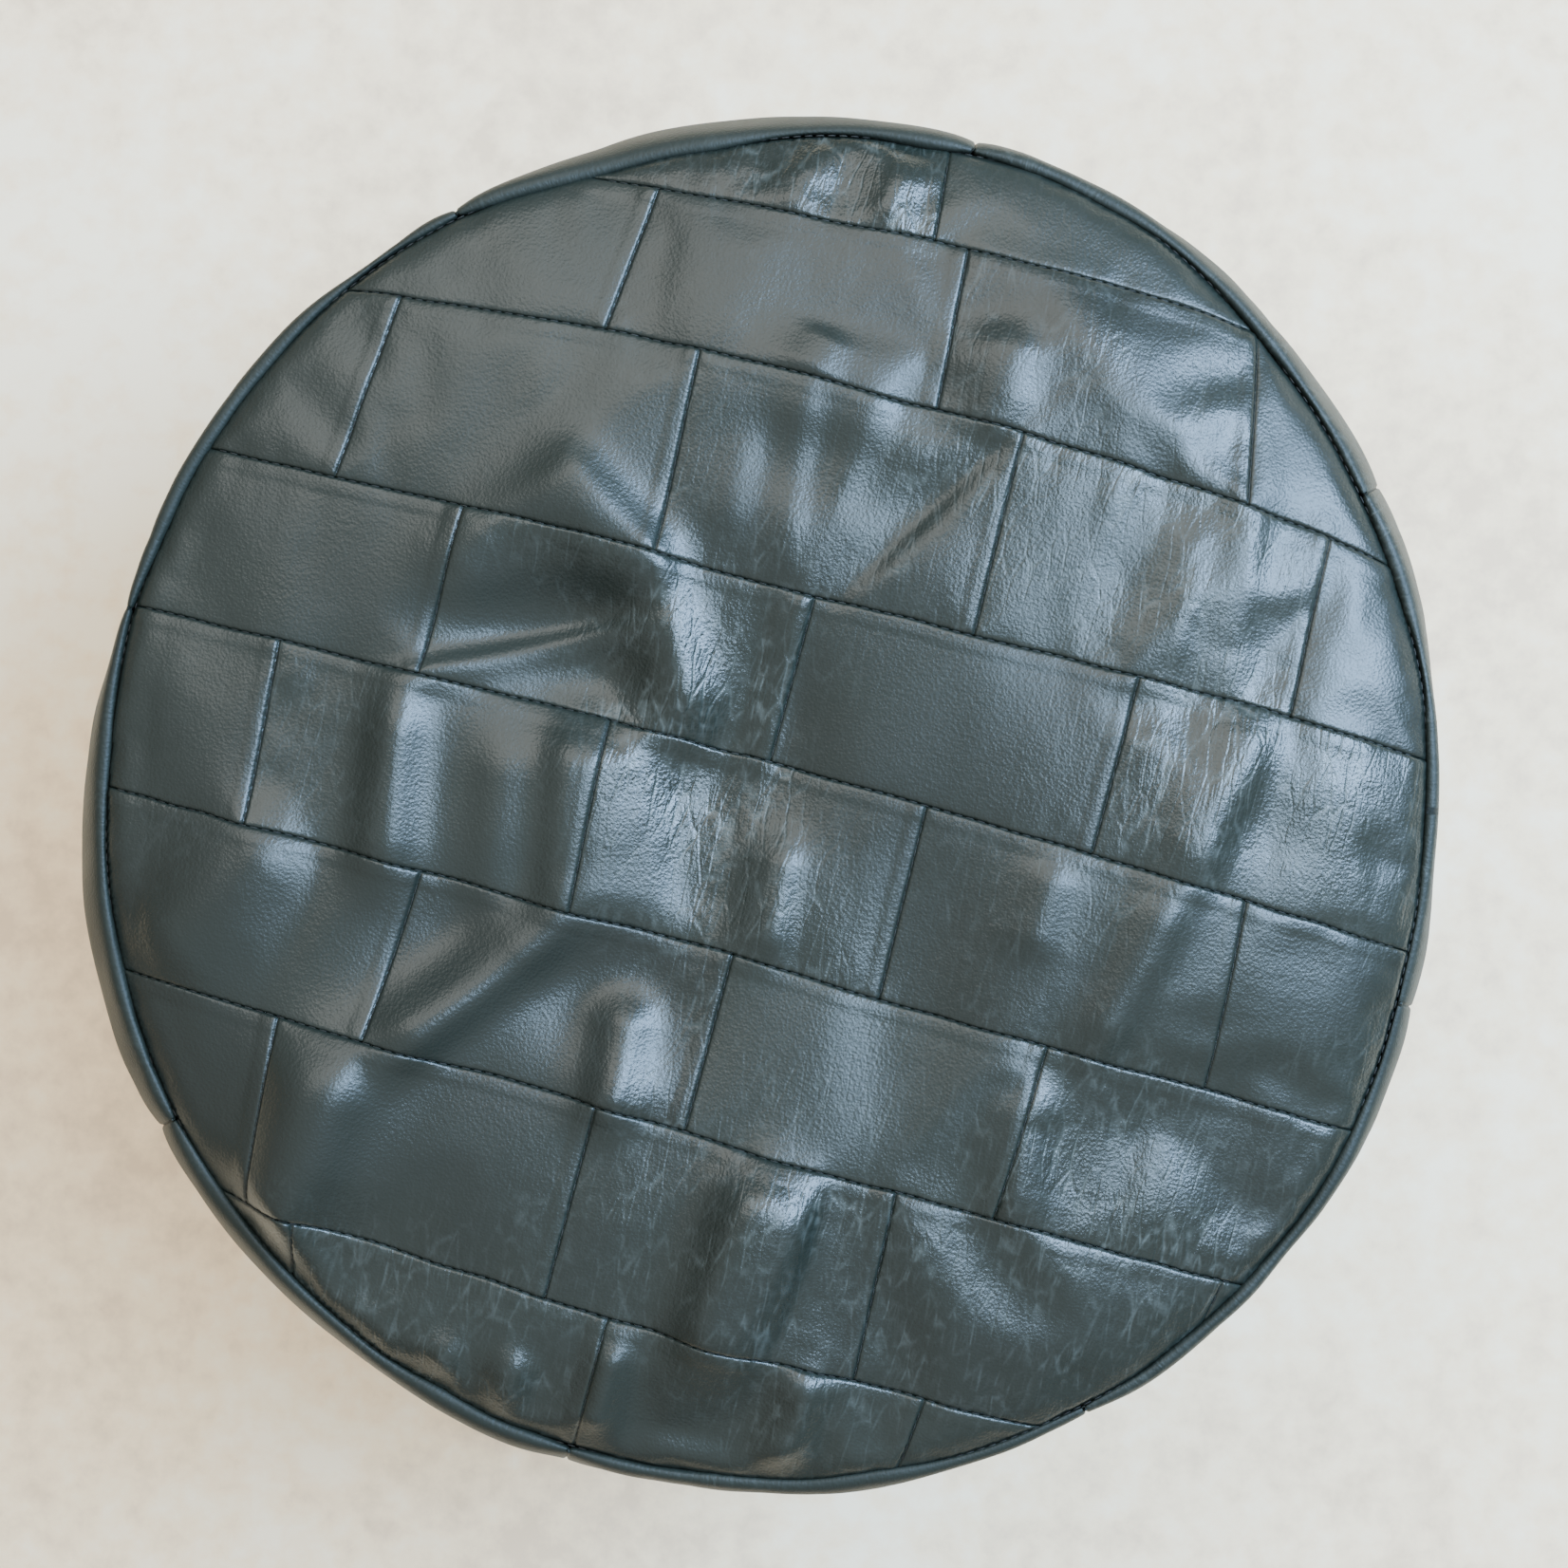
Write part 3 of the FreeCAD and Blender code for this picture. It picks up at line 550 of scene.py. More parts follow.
def row_seam(number, along):
    """Where the seam below a row lies across the rows; 0 is above the first row."""
    straight = FIRST_SEAM - (number - 1) * ROW_WIDE
    if number in (0, ROW_COUNT):
        return straight + 0 * along
    left, middle, right = SEAM_WANDER[number - 1]
    place = along / SEAM_REACH
    bow = middle + (right - left) / 2 * place + ((left + right) / 2 - middle) * place**2
    short = 0.5 * noise(along, 0 * along, 13, number)
    long = 1.2 * noise(along, 0 * along, 60, number + 9)
    return straight + bow + short + long


def filling(x, y):
    """Level of the slack top over its filling, without seams or creases."""
    angle = np.arctan2(y, x)
    radius = np.hypot(x, y)
    edge = seam_radius(angle)
    part = np.clip(radius / edge, 0, 1)
    foot = seam_level(angle)
    level = foot + (CROWN_LEVEL - foot) * (1 - part**4.2)
    bumps = 0.0
    for mid_x, mid_y, half_long, half_wide, turn, depth in HOLLOWS:
        turn = math.radians(turn)
        along = ((x - mid_x) * math.cos(turn) + (y - mid_y) * math.sin(turn)) / half_long
        across = (-(x - mid_x) * math.sin(turn) + (y - mid_y) * math.cos(turn)) / half_wide
        bumps = bumps - depth * np.exp(-((along**2 + across**2) ** 1.3))
    for foot_x, foot_y, head_x, head_y, height, left, right in FOLDS:
        length = math.hypot(head_x - foot_x, head_y - foot_y)
        way_x, way_y = (head_x - foot_x) / length, (head_y - foot_y) / length
        along = ((x - foot_x) * way_x + (y - foot_y) * way_y) / length
        across = (x - foot_x) * way_y - (y - foot_y) * way_x
        width = np.where(across > 0, right, left)
        ends = np.exp(-((np.clip(np.abs(along - 0.5) - 0.3, 0, None) / 0.3) ** 2))
        bumps = bumps + height * ends * np.exp(-((across / width) ** 2))
    level = level + bumps * smooth_step((edge - radius) / 20)
    high = np.clip(level - CROWN_LEVEL, 0, None)
    return level - high**2 / (high + 8)


def grid_lines(start, end, seams):
    """Evenly spaced grid lines, with closer ones beside each seam."""
    plain = np.arange(start, end + GRID_STEP / 2, GRID_STEP)
    for seam in seams:
        plain = plain[np.abs(plain - seam) > NEAR_SEAM[-1] + GRID_STEP / 2]
    near = [seam + side * offset for seam in seams for offset in NEAR_SEAM for side in (-1, 1)]
    lines = np.unique(np.concatenate([plain, near, [start, end]]))
    return lines[(lines >= start) & (lines <= end)]


def clip_top(x, y, faces, step, hemmed=None):
    """Keeps the cells inside the edge seam and moves their outer corners onto it.

    Corners that are hemmed already lie on a row seam, and count as outer only at its end.
    """
    angle = np.arctan2(y, x)
    reach = np.hypot(x, y) / seam_radius(angle)
    faces = faces[reach[faces].mean(axis=1) < 1 - 0.1 * step / EDGE_RADIUS]
    meetings = np.bincount(faces.ravel(), minlength=len(x))
    whole = np.full(len(x), 4) if hemmed is None else np.where(hemmed, 2, 4)
    outer = (meetings > 0) & (meetings < whole)
    scale = np.where(outer, 1 / np.maximum(reach, 0.1), 1.0)
    return x * scale, y * scale, faces, outer


def wear_at(number, along):
    """How worn the leather is along a row, with its patch's number."""
    seams = [place for place, lean in CROSS_SEAMS[number - 1]]
    patch = np.searchsorted(seams, along)
    return np.asarray(PATCH_WEAR[number - 1])[patch], patch


def settle_cloth():
    """Lets the slack top settle on its filling as cloth; returns its rise at each grid point."""
    count = int(HALF_WIDE // SIM_STEP)
    ticks = np.arange(-count, count + 1) * SIM_STEP
    along, across = np.meshgrid(ticks, ticks)
    along, across = along.ravel(), across.ravel()
    x, y = to_object(along, across)
    x, y, faces, outer = clip_top(x, y, grid_faces(len(ticks), len(ticks)), SIM_STEP)
    level = filling(x, y)
    start = np.stack([x, y, level], axis=1)
    used = np.unique(faces)
    numbers = np.full(len(x), -1)
    numbers[used] = np.arange(len(used))
    cover = bpy.data.meshes.new("settling_cover")
    cover.from_pydata((start[used] * MM).tolist(), [], numbers[faces].tolist())
    cloth = bpy.data.objects.new("settling_cover", cover)
    bed_ticks = np.linspace(-HALF_WIDE - 10, HALF_WIDE + 10, BED_LINES)
    bed_x, bed_y = (side.ravel() for side in np.meshgrid(bed_ticks, bed_ticks))
    bed_level = filling(bed_x, bed_y) - 2.0
    bed_mesh = bpy.data.meshes.new("settling_bed")
    bed_points = np.stack([bed_x, bed_y, bed_level], axis=1) * MM
    bed_mesh.from_pydata(bed_points.tolist(), [], grid_faces(BED_LINES, BED_LINES).tolist())
    bed = bpy.data.objects.new("settling_bed", bed_mesh)
    for item in (cloth, bed):
        bpy.context.scene.collection.objects.link(item)
    bed.modifiers.new("Collision", "COLLISION")
    bed.collision.thickness_outer = 0.001
    bed.collision.cloth_friction = 8

    pin = cloth.vertex_groups.new(name="pin")
    tight = cloth.vertex_groups.new(name="tight")
    row = np.clip(np.ceil((FIRST_SEAM - across[used]) / ROW_WIDE).astype(int) + 1, 1, ROW_COUNT)
    for index, point in enumerate(used):
        wear, patch = wear_at(row[index], along[point])
        tight.add([index], float(1 - wear), "REPLACE")
        if outer[point]:
            pin.add([index], 1.0, "REPLACE")
    modifier = cloth.modifiers.new("Cloth", "CLOTH")
    settings = modifier.settings
    settings.quality = 7
    settings.mass = 0.0008
    settings.tension_stiffness = settings.compression_stiffness = 30
    settings.shear_stiffness = 15
    settings.bending_stiffness = 4
    settings.vertex_group_mass = "pin"
    settings.vertex_group_shrink = "tight"
    settings.shrink_min = -0.022
    settings.shrink_max = -0.002
    modifier.collision_settings.distance_min = 0.001
    modifier.collision_settings.use_self_collision = False
    modifier.point_cache.frame_end = SIM_FRAMES
    scene = bpy.context.scene
    for number in range(1, SIM_FRAMES + 1):
        scene.frame_set(number)
    settled = cloth.evaluated_get(bpy.context.evaluated_depsgraph_get()).data
    level_now = np.empty(len(used) * 3)
    settled.vertices.foreach_get("co", level_now)
    rise = np.zeros(len(x))
    rise[used] = level_now.reshape(-1, 3)[:, 2] / MM - start[used, 2]
    scene.frame_set(1)
    for item in (cloth, bed):
        bpy.data.objects.remove(item)
    return np.clip(rise, *RISE_LIMITS).reshape(len(ticks), len(ticks)).T, count


def groove(distance, reach=GROOVE_REACH, depth=GROOVE_DEPTH):
    """How far leather rolls down at a distance from a seam."""
    part = np.clip(1 - np.abs(distance) / reach, 0, 1)
    return depth * (1 - np.sqrt(1 - 0.998 * part * part))


def top_row(number, rise):
    """One row of patches: points, faces and marks."""
    seams = CROSS_SEAMS[number - 1]
    places = np.array([place for place, lean in seams], float)
    lines = grid_lines(-HALF_WIDE, HALF_WIDE, places)
    steps = grid_lines(0, ROW_WIDE, (0.0, ROW_WIDE))
    flat_along, flat_across = (side.ravel() for side in np.meshgrid(lines, steps))
    share = flat_across / ROW_WIDE
    leans = np.interp(flat_along, places, [lean for place, lean in seams])
    along = flat_along + leans * (share - 0.5)
    lower, upper = row_seam(number, along), row_seam(number - 1, along)
    across = lower + share * (upper - lower)
    x, y = to_object(along, across)
    hemmed = (share == 0) | (share == 1)
    x, y, faces, outer = clip_top(x, y, grid_faces(len(lines), len(steps)), GRID_STEP, hemmed)
    along, across = to_rows(x, y)

    wear, patch = wear_at(number, flat_along)
    cross = np.abs(flat_along[:, None] - places).min(axis=1)
    to_lower = (across - lower) if number < ROW_COUNT else np.full(len(x), 1e3)
    to_upper = (upper - across) if number > 1 else np.full(len(x), 1e3)
    angle = np.arctan2(y, x)
    to_edge = seam_radius(angle) - np.hypot(x, y)
    nearest = np.minimum.reduce([cross, to_lower, to_upper, to_edge])
    to_seam = np.minimum(to_lower, to_upper)

    level = filling(x, y) + spline_sheet(rise[0], along / SIM_STEP + rise[1], across / SIM_STEP + rise[1])
    used = wear * (0.55 + 0.6 * noise(along, across, 55, 21))
    used = np.clip(used, 0, 1)
    level += 1.3 * (1 - np.exp(-np.clip(nearest, 0, None) / 9)) - 1.0
    fade = 1 - np.exp(-nearest / 5)
    level += used * 1.1 * noise(along, across, 21, 22) * fade
    level += used * 1.4 * (crumple(along, across * 0.33, 13, 23 + number) - 0.5) * fade
    level += used**2 * 0.6 * (crumple(along, across * 0.25, 6, 40 + number) - 0.5) * fade
    pull = 0.35 * noise(along, 0.35 * across, 4.2, 60 + number)
    pull += 0.3 * noise(along, 0.3 * across, 9, 70 + number)
    level += pull * np.exp(-np.clip(to_seam, 0, None) / 6) * (0.35 + used)
    beat = 0.4 * np.cos(2 * math.pi * along / STITCH_PITCH)
    level -= groove(to_lower, GROOVE_REACH * (1 + beat)) + groove(to_upper, GROOVE_REACH * (1 + beat))
    level -= groove(cross, 1.5, 1.5)
    left = np.where(flat_along[:, None] < places, places - flat_along[:, None], 1e3).min(axis=1)
    level += 0.45 * smooth_step((8 - left) / 3) * smooth_step(left / 2)
    level += 0.35 * smooth_step((8 - to_upper) / 2.5)
    ring = EDGE_RADIUS * angle
    joined = smooth_step((math.pi - np.abs(angle)) * EDGE_RADIUS / 30)
    gathers = noise(ring, to_edge * 0.25, 8, 81) + 0.8 * noise(ring, to_edge * 0.2, 17, 82)
    level += 0.6 * joined * gathers * np.exp(-np.clip(to_edge, 0, None) / 13) * smooth_step(to_edge / 4)
    tight = 0.62 + 0.38 * round_noise(angle, 40, 9)
    level -= groove(to_edge, EDGE_REACH, EDGE_DEPTH) * tight + 0.8 * np.exp(-to_edge / 8)

    points = np.stack([x, y, level], axis=1)
    random = np.random.default_rng(100 + number)
    shift = random.uniform(-3, 3, (len(places) + 1, 2))[patch]
    tone = random.uniform(0.2, 0.8, len(places) + 1)[patch]
    marks = {
        "flat": np.stack([along * MM + shift[:, 0], across * MM + shift[:, 1], 0 * along], axis=1),
        "tone": tone,
        "wear": used,
    }
    return points, faces, marks


def top_level(x, y, rise):
    """Level of the top between its seams."""
    along, across = to_rows(x, y)
    return filling(x, y) + spline_sheet(rise[0], along / SIM_STEP + rise[1], across / SIM_STEP + rise[1])


def stitches(starts, ends, radius=0.3, sides=6):
    """Short round-ended stitches from one point to another, in millimetres: points and triangles."""
    way = ends - starts
    length = np.linalg.norm(way, axis=1, keepdims=True)
    way = way / length
    side = np.cross(way, [0.0, 0.0, 1.0])
    side /= np.linalg.norm(side, axis=1, keepdims=True) + 1e-9
    up = np.cross(side, way)
    turns = np.arange(sides) * 2 * math.pi / sides
    rings = [starts[:, None]]
    for place, size in ((0.15, 0.8), (0.5, 1.0), (0.85, 0.8)):
        middle = starts + (ends - starts) * place
        lift = 0.25 * radius if place == 0.5 else 0.0
        ring = (side[:, None] * np.cos(turns)[None, :, None] + up[:, None] * np.sin(turns)[None, :, None])
        rings.append(middle[:, None] + up[:, None] * lift + ring * radius * size)
    rings.append(ends[:, None])
    points = np.concatenate(rings, axis=1)
    count = points.shape[1]
    faces = []
    for turn in range(sides):
        after = (turn + 1) % sides
        faces.append((0, 1 + after, 1 + turn, 1 + turn))
        for ring in range(2):
            first = 1 + ring * sides
            faces.append((first + turn, first + after, first + sides + after, first + sides + turn))
        last = 1 + 2 * sides
        faces.append((last + turn, last + after, count - 1, count - 1))
    faces = np.array(faces)
    offsets = np.arange(len(starts))[:, None, None] * count
    return points.reshape(-1, 3), (faces[None] + offsets).reshape(-1, 4)


def thread_piece(name, lines, node, body):
    """Stitches along several lines of points in millimetres, as one piece."""
    starts, ends = [], []
    for line in lines:
        gaps = np.linalg.norm(np.diff(line, axis=0), axis=1)
        run = np.concatenate([[0], np.cumsum(gaps)])
        begin = np.arange(0.8, run[-1] - 3.8, STITCH_PITCH)
        starts.append(np.stack([np.interp(begin, run, line[:, axis]) for axis in range(3)], axis=1))
        ends.append(np.stack([np.interp(begin + 3.7, run, line[:, axis]) for axis in range(3)], axis=1))
    points, faces = stitches(np.concatenate(starts), np.concatenate(ends))
    mesh_faces = [tuple(dict.fromkeys(face)) for face in faces.tolist()]
    mesh = bpy.data.meshes.new(name)
    mesh.from_pydata((points * MM).tolist(), [], mesh_faces)
    mesh.materials.append(thread)
    piece = bpy.data.objects.new(name, mesh)
    bpy.context.scene.collection.objects.link(piece)
    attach(piece, body)
    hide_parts(node)
    return piece


def build_top(rise):
    """The patchwork top and the thread in its seams."""
    for number in range(1, ROW_COUNT + 1):
        points, faces, marks = top_row(number, rise)
        node = f"top_patch_row_{number}"
        piece = new_piece("soft_" + node, points, faces, leather, "lid", (node,), marks=marks, thick=LEATHER)

    lines = []
    depth = GROOVE_DEPTH - 0.9
    run = np.arange(-HALF_WIDE, HALF_WIDE, 1.0)
    for number in range(1, ROW_COUNT):
        x, y = to_object(run, row_seam(number, run))
        inside = np.hypot(x, y) < seam_radius(np.arctan2(y, x)) - 4
        x, y = x[inside], y[inside]
        lines.append(np.stack([x, y, top_level(x, y, rise) - 1.0 - depth], axis=1))
    for number in range(1, ROW_COUNT + 1):
        for place, lean in CROSS_SEAMS[number - 1]:
            share = np.linspace(0.02, 0.98, 80)
            along = place + lean * (share - 0.5)
            lower, upper = row_seam(number, along), row_seam(number - 1, along)
            x, y = to_object(along, lower + share * (upper - lower))
            inside = np.hypot(x, y) < seam_radius(np.arctan2(y, x)) - 4
            x, y = x[inside], y[inside]
            lines.append(np.stack([x, y, top_level(x, y, rise) - 1.0 - depth + 0.3], axis=1))
    thread_piece("top_stitches", lines, "top_seam_thread", "lid")
    angle = np.linspace(0, 2 * math.pi, 1500)
    radius = seam_radius(angle)
    edge = np.stack([radius * np.cos(angle), radius * np.sin(angle), seam_level(angle) - 2.6], axis=1)
    thread_piece("edge_stitches", [edge], "lid_edge_thread", "lid")


# Leather belts round the side

def belt(name, profile, seam_turn, node, body, seed, slack=1.0, rolled=(True, True), count=640):
    """A ring of panels whose outline up the side, at each angle, is guided by (radius, level) points.

    It lies between seams at both ends, or ends flat where it isn't rolled. Its upright seams start at
    an angle.
    """
    angle = np.linspace(0, 2 * math.pi, count, endpoint=False)
    pitch = 2 * math.pi / PANEL_COUNT
    first_seam = math.radians(seam_turn)
    for edge in NEAR_SEAM[:4]:
        extra = [first_seam + k * pitch + side * edge / BELT_RADIUS for k in range(PANEL_COUNT)
                 for side in (-1, 1)]
        angle = np.concatenate([angle, np.array(extra) % (2 * math.pi)])
    angle = np.unique(angle)
    guide = profile(angle)
    spans = len(guide) - 1
    steps = spans * 6 + 1
    place = np.linspace(0, spans, steps)
    radius = spline_rows(guide, place, 0, len(angle))
    level = spline_rows(guide, place, 1, len(angle))
    slope_r = np.gradient(radius, axis=0)
    slope_z = np.gradient(level, axis=0)
    size = np.hypot(slope_r, slope_z)
    run = np.concatenate([np.zeros((1, len(angle))), np.cumsum(size[1:], axis=0)])
    total = run[-1]
    turn = 1.0 if np.mean(level[-1]) < np.mean(level[0]) else -1.0
    out_r, out_z = -slope_z / size * turn, slope_r / size * turn
    around = np.broadcast_to(angle * BELT_RADIUS, radius.shape)
    from_seam = (angle - first_seam + pitch / 2) % pitch - pitch / 2
    to_upright = np.abs(from_seam)[None] * radius
    to_start = run if rolled[0] else run + 1e3
    to_end = total - run if rolled[1] else run + 1e3
    nearest = np.minimum(np.minimum(to_upright, to_start), to_end)
    closed = np.minimum(around, 2 * math.pi * BELT_RADIUS - around)
    blend = smooth_step(closed / 60)
    first = noise(around, run, 34, seed) * slack
    second = noise(around * 0.7, run, 15, seed + 1) * slack
    lift = 1.6 * (1 - np.exp(-nearest / 10)) - 1.0
    lift += blend * (1.5 * first + 0.6 * second) * (1 - np.exp(-nearest / 9))
    creases = crumple(around, run * 0.4, 17, seed + 2) - 0.5
    lift += blend * slack * 0.6 * creases * (1 - np.exp(-nearest / 6))
    pucker = noise(around, run * 0.4, 5, seed + 3) * np.exp(-np.minimum(to_start, to_end) / 7)
    lift += blend * 0.4 * pucker
    lift -= groove(to_upright, 1.6, 1.6) + groove(to_start) + groove(to_end)
    radius = radius + out_r * lift
    level = level + out_z * lift
    points = np.stack([radius * np.cos(angle), radius * np.sin(angle), level], axis=2).reshape(-1, 3)
    faces = grid_faces(len(angle), steps, closed=True)
    if turn < 0:
        faces = faces[:, ::-1]
    panel = np.floor((angle - first_seam) / pitch).astype(int) % PANEL_COUNT
    random = np.random.default_rng(seed + 200)
    tone = random.uniform(0.2, 0.8, PANEL_COUNT)[panel]
    shift = random.uniform(-3, 3, PANEL_COUNT)[panel]
    flat = np.stack([around * MM + shift, run * MM, 0 * run], axis=2).reshape(-1, 3)
    marks = {
        "flat": flat,
        "tone": np.broadcast_to(tone, radius.shape).ravel(),
        "wear": np.clip(0.14 + 0.28 * noise(around, run, 60, seed + 5), 0, 1).ravel(),
    }
    piece = new_piece(name, points, faces[:, ::-1], side_leather, body, (node,), marks=marks, thick=LEATHER)
    return piece


def band_profile(angle):
    """The lid's side band, from its seam with the top down and in under the lid board."""
    seam, top = seam_radius(angle), seam_level(angle)
    bulge = BULGE_RADIUS - BAND_IN + bulges(BAND_BULGES, angle)
    foot = BAND_FOOT_LEVEL + 1.4
    shoulder = top - 0.8 + 1.2 * round_noise(angle, 50, 8)
    return [
        (seam + 0.0, top - 4.5),
        (seam + 0.0, top - 2.7),
        (seam + 0.8, shoulder),
        (seam + 5.0, shoulder - 0.8),
        ((seam + bulge) / 2 + 3, top - 13),
        (bulge + 1.0, top - 30),
        (bulge + 1.5, 322),
        (np.maximum(bulge - 1.0, 299.0), 303),
        (303, 289),
        (298, foot + 0.2),
        (291, foot),
        (275, foot),
        (258, foot),
        (242, foot),
    ]


def side_profile(low, high):
    """One row of side panels between two levels, with a soft bulge."""
    def profile(angle):
        base = SIDE_RADIUS
        middle = (low + high) / 2
        return [
            (base - 1.0, high + 1.2),
            (base + 1.5, high - 2.5),
            (base + 4.0, high - 14),
            (base + 6.0, middle + 15),
            (base + 6.5, middle),
            (base + 6.0, middle - 15),
            (base + 4.0, low + 14),
            (base + 1.5, low + 2.5),
            (base - 1.0, low - 1.2),
        ]
    return profile


def foot_profile(angle):
    """The lowest row of side panels, which turns in under the base board."""
    base, low, high = SIDE_RADIUS, SIDE_FOOT_LEVEL + 1.3, SEAM_LEVELS[0]
    middle = (low + high) / 2
    return [
        (base - 1.0, high + 1.2),
        (base + 1.5, high - 2.5),
        (base + 4.0, high - 14),
        (base + 6.0, middle + 15),
        (base + 6.0, middle),
        (base + 5.0, middle - 18),
        (base + 2.5, low + 12),
        (base - 0.5, low + 2),
        (base - 8, low),
        (275, low),
        (258, low),
        (242, low),
    ]


def build_sides():
    """The lid's side band and the three rows of panels round the drum."""
    half = 180 / PANEL_COUNT
    belt("soft_lid_band", band_profile, PANEL_TURN, "lid_band", "lid", 300, 0.8, (False, False), 560)
    upper = side_profile(SEAM_LEVELS[1], RIM_LEVEL)
    middle = side_profile(*SEAM_LEVELS)
    belt("soft_side_row_upper", upper, PANEL_TURN + half, "side_row_upper", "base", 320)
    belt("soft_side_row_middle", middle, PANEL_TURN, "side_row_middle", "base", 340)
    belt("soft_side_row_lower", foot_profile, PANEL_TURN + half, "side_row_lower", "base", 360, 1.0,
         (True, False))
    angle = np.linspace(0, 2 * math.pi, 1500)
    x, y = THREAD_RADIUS * np.cos(angle), THREAD_RADIUS * np.sin(angle)
    lines = [np.stack([x, y, 0 * angle + level], axis=1) for level in SEAM_LEVELS]
    thread_piece("side_stitches", lines, "side_seam_thread", "base")


# Filling, linings and covers

def turned_sheet(name, guide, material, node, body, thick, seed, ripple=0.3, count=240, fine=8):
    """A turned cloth or leather skin with a slight ripple, from (radius, level) guide points."""
    angle = np.linspace(0, 2 * math.pi, count, endpoint=False)
    place = np.linspace(0, len(guide) - 1, (len(guide) - 1) * fine + 1)
    radius = spline_rows(guide, place, 0, count)
    level = spline_rows(guide, place, 1, count)
    slope_r, slope_z = np.gradient(radius, axis=0), np.gradient(level, axis=0)
    size = np.hypot(slope_r, slope_z) + 1e-9
    x, y = radius * np.cos(angle), radius * np.sin(angle)
    lift = ripple * (noise(x, y, 38, seed) + noise(y, level, 31, seed + 1)) / 2
    radius = radius - slope_z / size * lift
    level = level + slope_r / size * lift
    points = np.stack([radius * np.cos(angle), radius * np.sin(angle), level], axis=2).reshape(-1, 3)
    around = np.broadcast_to(angle * 0.25, radius.shape)
    flat = np.stack([around, (radius + level) * MM, 0 * level], axis=2)
    marks = {
        "flat": flat.reshape(-1, 3),
        "tone": np.full(len(points), 0.5),
        "wear": np.full(len(points), 0.2),
    }
    faces = grid_faces(count, len(place), closed=True)
    return new_piece(name, points, faces, material, body, (node,), marks, thick)


def disc_guide(radius, level):
    """Guide points of a flat disc, from its middle to its edge."""
    return [(0.3, level)] * 2 + [(radius * part, level) for part in (0.2, 0.4, 0.6, 0.8, 0.95)] + [
        (radius, level)] * 2


def build_linings():
    """Cloth and leather skins inside, and under the lid and the base."""
    low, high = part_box("lining_wall")
    wall = high.x / MM - 0.5
    bottom, top = low.z / MM + 0.3, high.z / MM - 0.3
    guide = [(wall, bottom)] * 2 + [(wall, bottom + (top - bottom) * k / 6) for k in range(1, 6)]
    guide += [(wall, top)] * 2
    piece = turned_sheet("lining_wall_cloth", guide, lining, "lining_wall", "base", 0.6, 401,
                         0.35)

    discs = (
        ("lining_floor", lining, "lining_cloth", "base", 0.6, 411, 0.25, "laid", "base_board"),
        ("lid_lining", lining, "lining_cloth", "lid", 0.6, 421, 0.15, "stretched", "lid_board"),
        ("dust_cover", dust_cloth, "dust_cloth", "base", 0.5, 431, 0.2, "stretched", "base_board"),
    )
    for node, material, slot, body, thick, seed, ripple, held, under in discs:
        low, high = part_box(node)
        guide = disc_guide(high.x / MM, (low.z + high.z) / 2 / MM)
        disc = turned_sheet(node + "_cloth", guide, material, node, body, thick, seed, ripple)

    low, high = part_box("rim_binding")
    level = RIM_LEVEL - 0.7
    guide = [
        (BINDING_INSIDE, MOUTH_LEVEL + 0.3),
        (BINDING_INSIDE, MOUTH_LEVEL + 0.3),
        (BINDING_INSIDE, MOUTH_LEVEL + 6),
        (BINDING_INSIDE, RIM_LEVEL - 5),
        (BINDING_INSIDE + 0.2, RIM_LEVEL - 1.5),
        (BINDING_INSIDE + 1.5, level),
        (BINDING_INSIDE + 6, level),
        (255, level),
        (275, level),
    ]
    guide += [(high.x / MM - 0.3, level)] * 2
    binding = turned_sheet("rim_binding_leather", guide, side_leather, "rim_binding", "base",
                           LEATHER, 441, 0.25, 360)


def build_fillings(rise):
    """The lid's wadding and foam, which follow the dents of the leather over them."""
    count, rings = 180, 44
    angle = np.linspace(0, 2 * math.pi, count, endpoint=False)
    share = np.linspace(0.004, 1, rings)[:, None]
    layers = (
        ("lid_wadding_layer", "lid_wadding", wadding, "wadding", 0.0, 3.0, 0.5),
        ("lid_foam_cushion", "lid_foam", foam, "foam", 5.0, 8.0, 0.9),
    )
    for name, node, material, slot, inset, thick, fill in layers:
        radius = share * (seam_radius(angle) - 6 - inset)
        x, y = radius * np.cos(angle), radius * np.sin(angle)
        top = top_level(x.ravel(), y.ravel(), rise).reshape(x.shape) - 5.5 - inset - 2.5 * share**8
        bulge = BULGE_RADIUS - BAND_IN + bulges(BAND_BULGES, angle) - 12 - inset
        side = [
            (seam_radius(angle) - 3 - inset, seam_level(angle) - 14 - inset),
            (bulge, seam_level(angle) - 34),
            (bulge, 0 * angle + 320),
            (bulge - 6, 0 * angle + LID_BOARD_TOP + 6 + inset),
            (bulge - 12, 0 * angle + LID_BOARD_TOP + 0.6 + inset),
        ]
        radius = np.concatenate([radius] + [np.broadcast_to(r, (1, count)) for r, level in side])
        level = np.concatenate([top] + [level[None] for r, level in side])
        points = np.stack([radius * np.cos(angle), radius * np.sin(angle), level], axis=2).reshape(-1, 3)
        faces = grid_faces(count, len(radius), closed=True)
        piece = new_piece(name, points, faces[:, ::-1], material, "lid", (node,), thick=thick)


# Surroundings

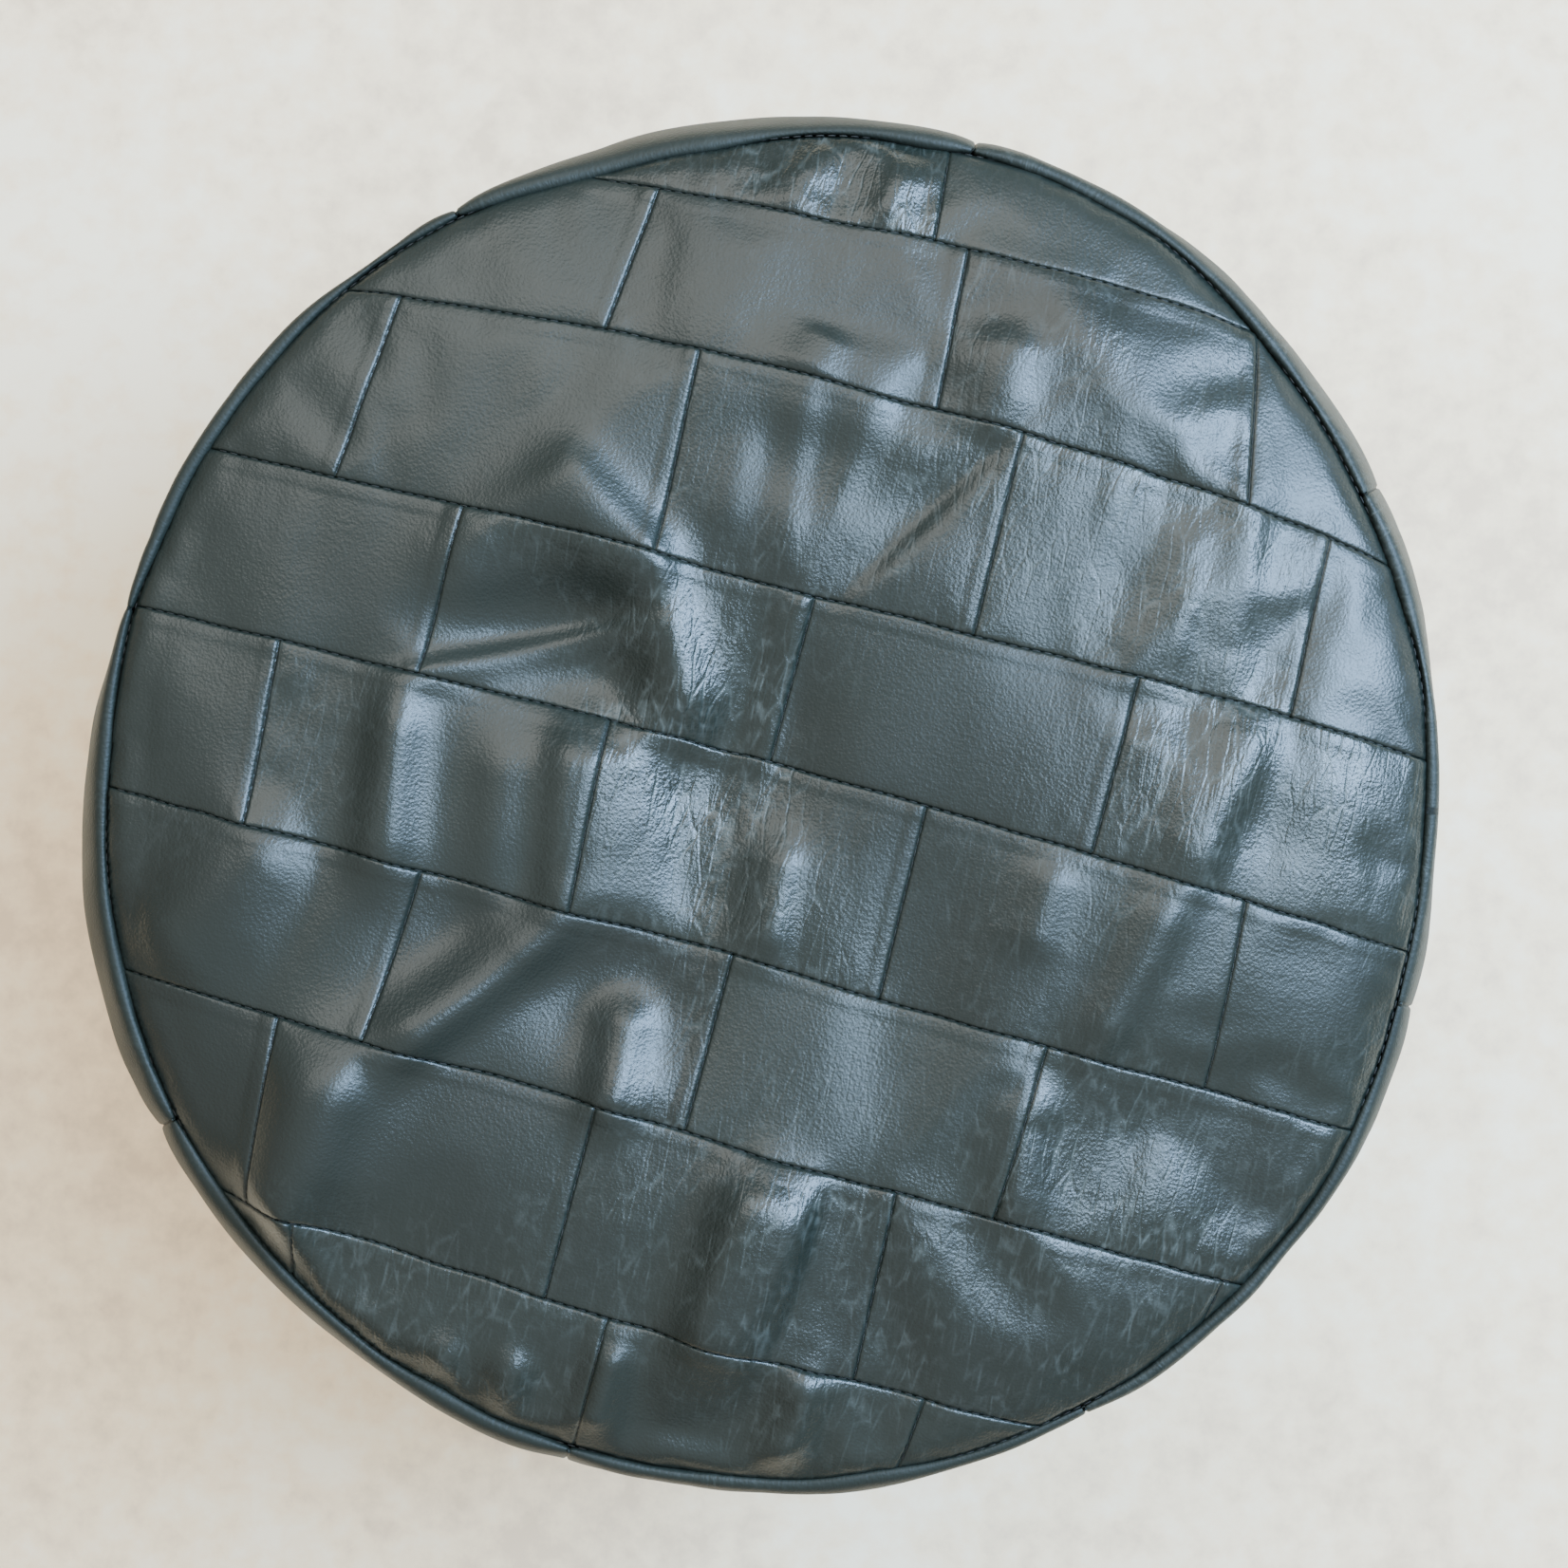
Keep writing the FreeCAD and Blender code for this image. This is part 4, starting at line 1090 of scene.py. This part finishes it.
def build_floor():
    """A plain pale floor."""
    shader = Shader("pale_concrete", Specular_IOR_Level=0.3)
    place = shader.place()
    blotch = shader.noise(place, 2.2, 6, 0.6)
    fine = shader.noise(place, 45, 5, 0.6)
    mixed = shader.math("ADD", shader.math("MULTIPLY", blotch, 0.65), shader.math("MULTIPLY", fine, 0.35))
    colour = shader.ramp(
        mixed,
        (0.42, (0.78, 0.6, 0.4)),
        (0.5, (0.96, 0.76, 0.5)),
        (0.58, (1.0, 0.87, 0.64)),
    )
    shader.finish(Base_Color=colour, Roughness=0.75, Normal=shader.bump(fine, 0.0004))
    mesh = bpy.data.meshes.new("floor")
    half = 5.0
    corners = [(-half, -half, 0), (half, -half, 0), (half, half, 0), (-half, half, 0)]
    mesh.from_pydata(corners, [], [(0, 1, 2, 3)])
    mesh.materials.append(shader.material)
    floor = bpy.data.objects.new("floor", mesh)
    bpy.context.scene.collection.objects.link(floor)
    floor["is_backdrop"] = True


def area_light(name, place, size, power, colour):
    """A soft rectangular light that faces the ottoman."""
    light = bpy.data.lights.new(name, "AREA")
    light.shape = "RECTANGLE"
    light.size, light.size_y = size
    light.energy = power
    light.color = colour
    lamp = bpy.data.objects.new(name, light)
    lamp.location = place
    lamp.rotation_euler = (Vector((0, 0, 0.25)) - Vector(place)).to_track_quat("-Z", "Y").to_euler()
    bpy.context.scene.collection.objects.link(lamp)


def build_light():
    """Even daylight from all round, and a window to the right."""
    world = bpy.data.worlds.new("daylight")
    world.use_nodes = True
    background = world.node_tree.nodes["Background"]
    tree = world.node_tree
    place = tree.nodes.new("ShaderNodeTexCoord")
    split = tree.nodes.new("ShaderNodeSeparateXYZ")
    fade = tree.nodes.new("ShaderNodeValToRGB")
    tree.links.new(place.outputs["Generated"], split.inputs[0])
    tree.links.new(split.outputs[2], fade.inputs[0])
    tree.links.new(fade.outputs[0], background.inputs[0])
    fade.color_ramp.elements[0].color = (0.3, 0.29, 0.27, 1)
    fade.color_ramp.elements[1].color = (1.0, 0.97, 0.91, 1)
    fade.color_ramp.elements[0].position = 0.1
    fade.color_ramp.elements[1].position = 0.6
    background.inputs[1].default_value = 1.2
    bpy.context.scene.world = world
    area_light("window", (2.0, 0.75, 2.2), (1.3, 1.3), 265, (0.42, 0.66, 1.0))
    area_light("sky", (0.95, 0.25, 2.6), (0.9, 0.9), 56, (0.5, 0.73, 1.0))
    area_light("ceiling", (-0.3, 1.7, 2.8), (3.0, 2.0), 74, (1.0, 0.96, 0.89))


def build_camera():
    """Straight above the ottoman, a little to the right and up from its middle."""
    camera = bpy.data.cameras.new("camera")
    camera.sensor_width = 36
    camera.lens = 54.74
    viewer = bpy.data.objects.new("camera", camera)
    viewer.location = (0.0066, 0.0101, 1.4)
    bpy.context.scene.collection.objects.link(viewer)
    bpy.context.scene.camera = viewer


dress_cad_nodes()
build_camera()
build_light()
build_floor()
settled = settle_cloth()
build_top(settled)
build_sides()
build_fillings(settled)
build_linings()

low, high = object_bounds()
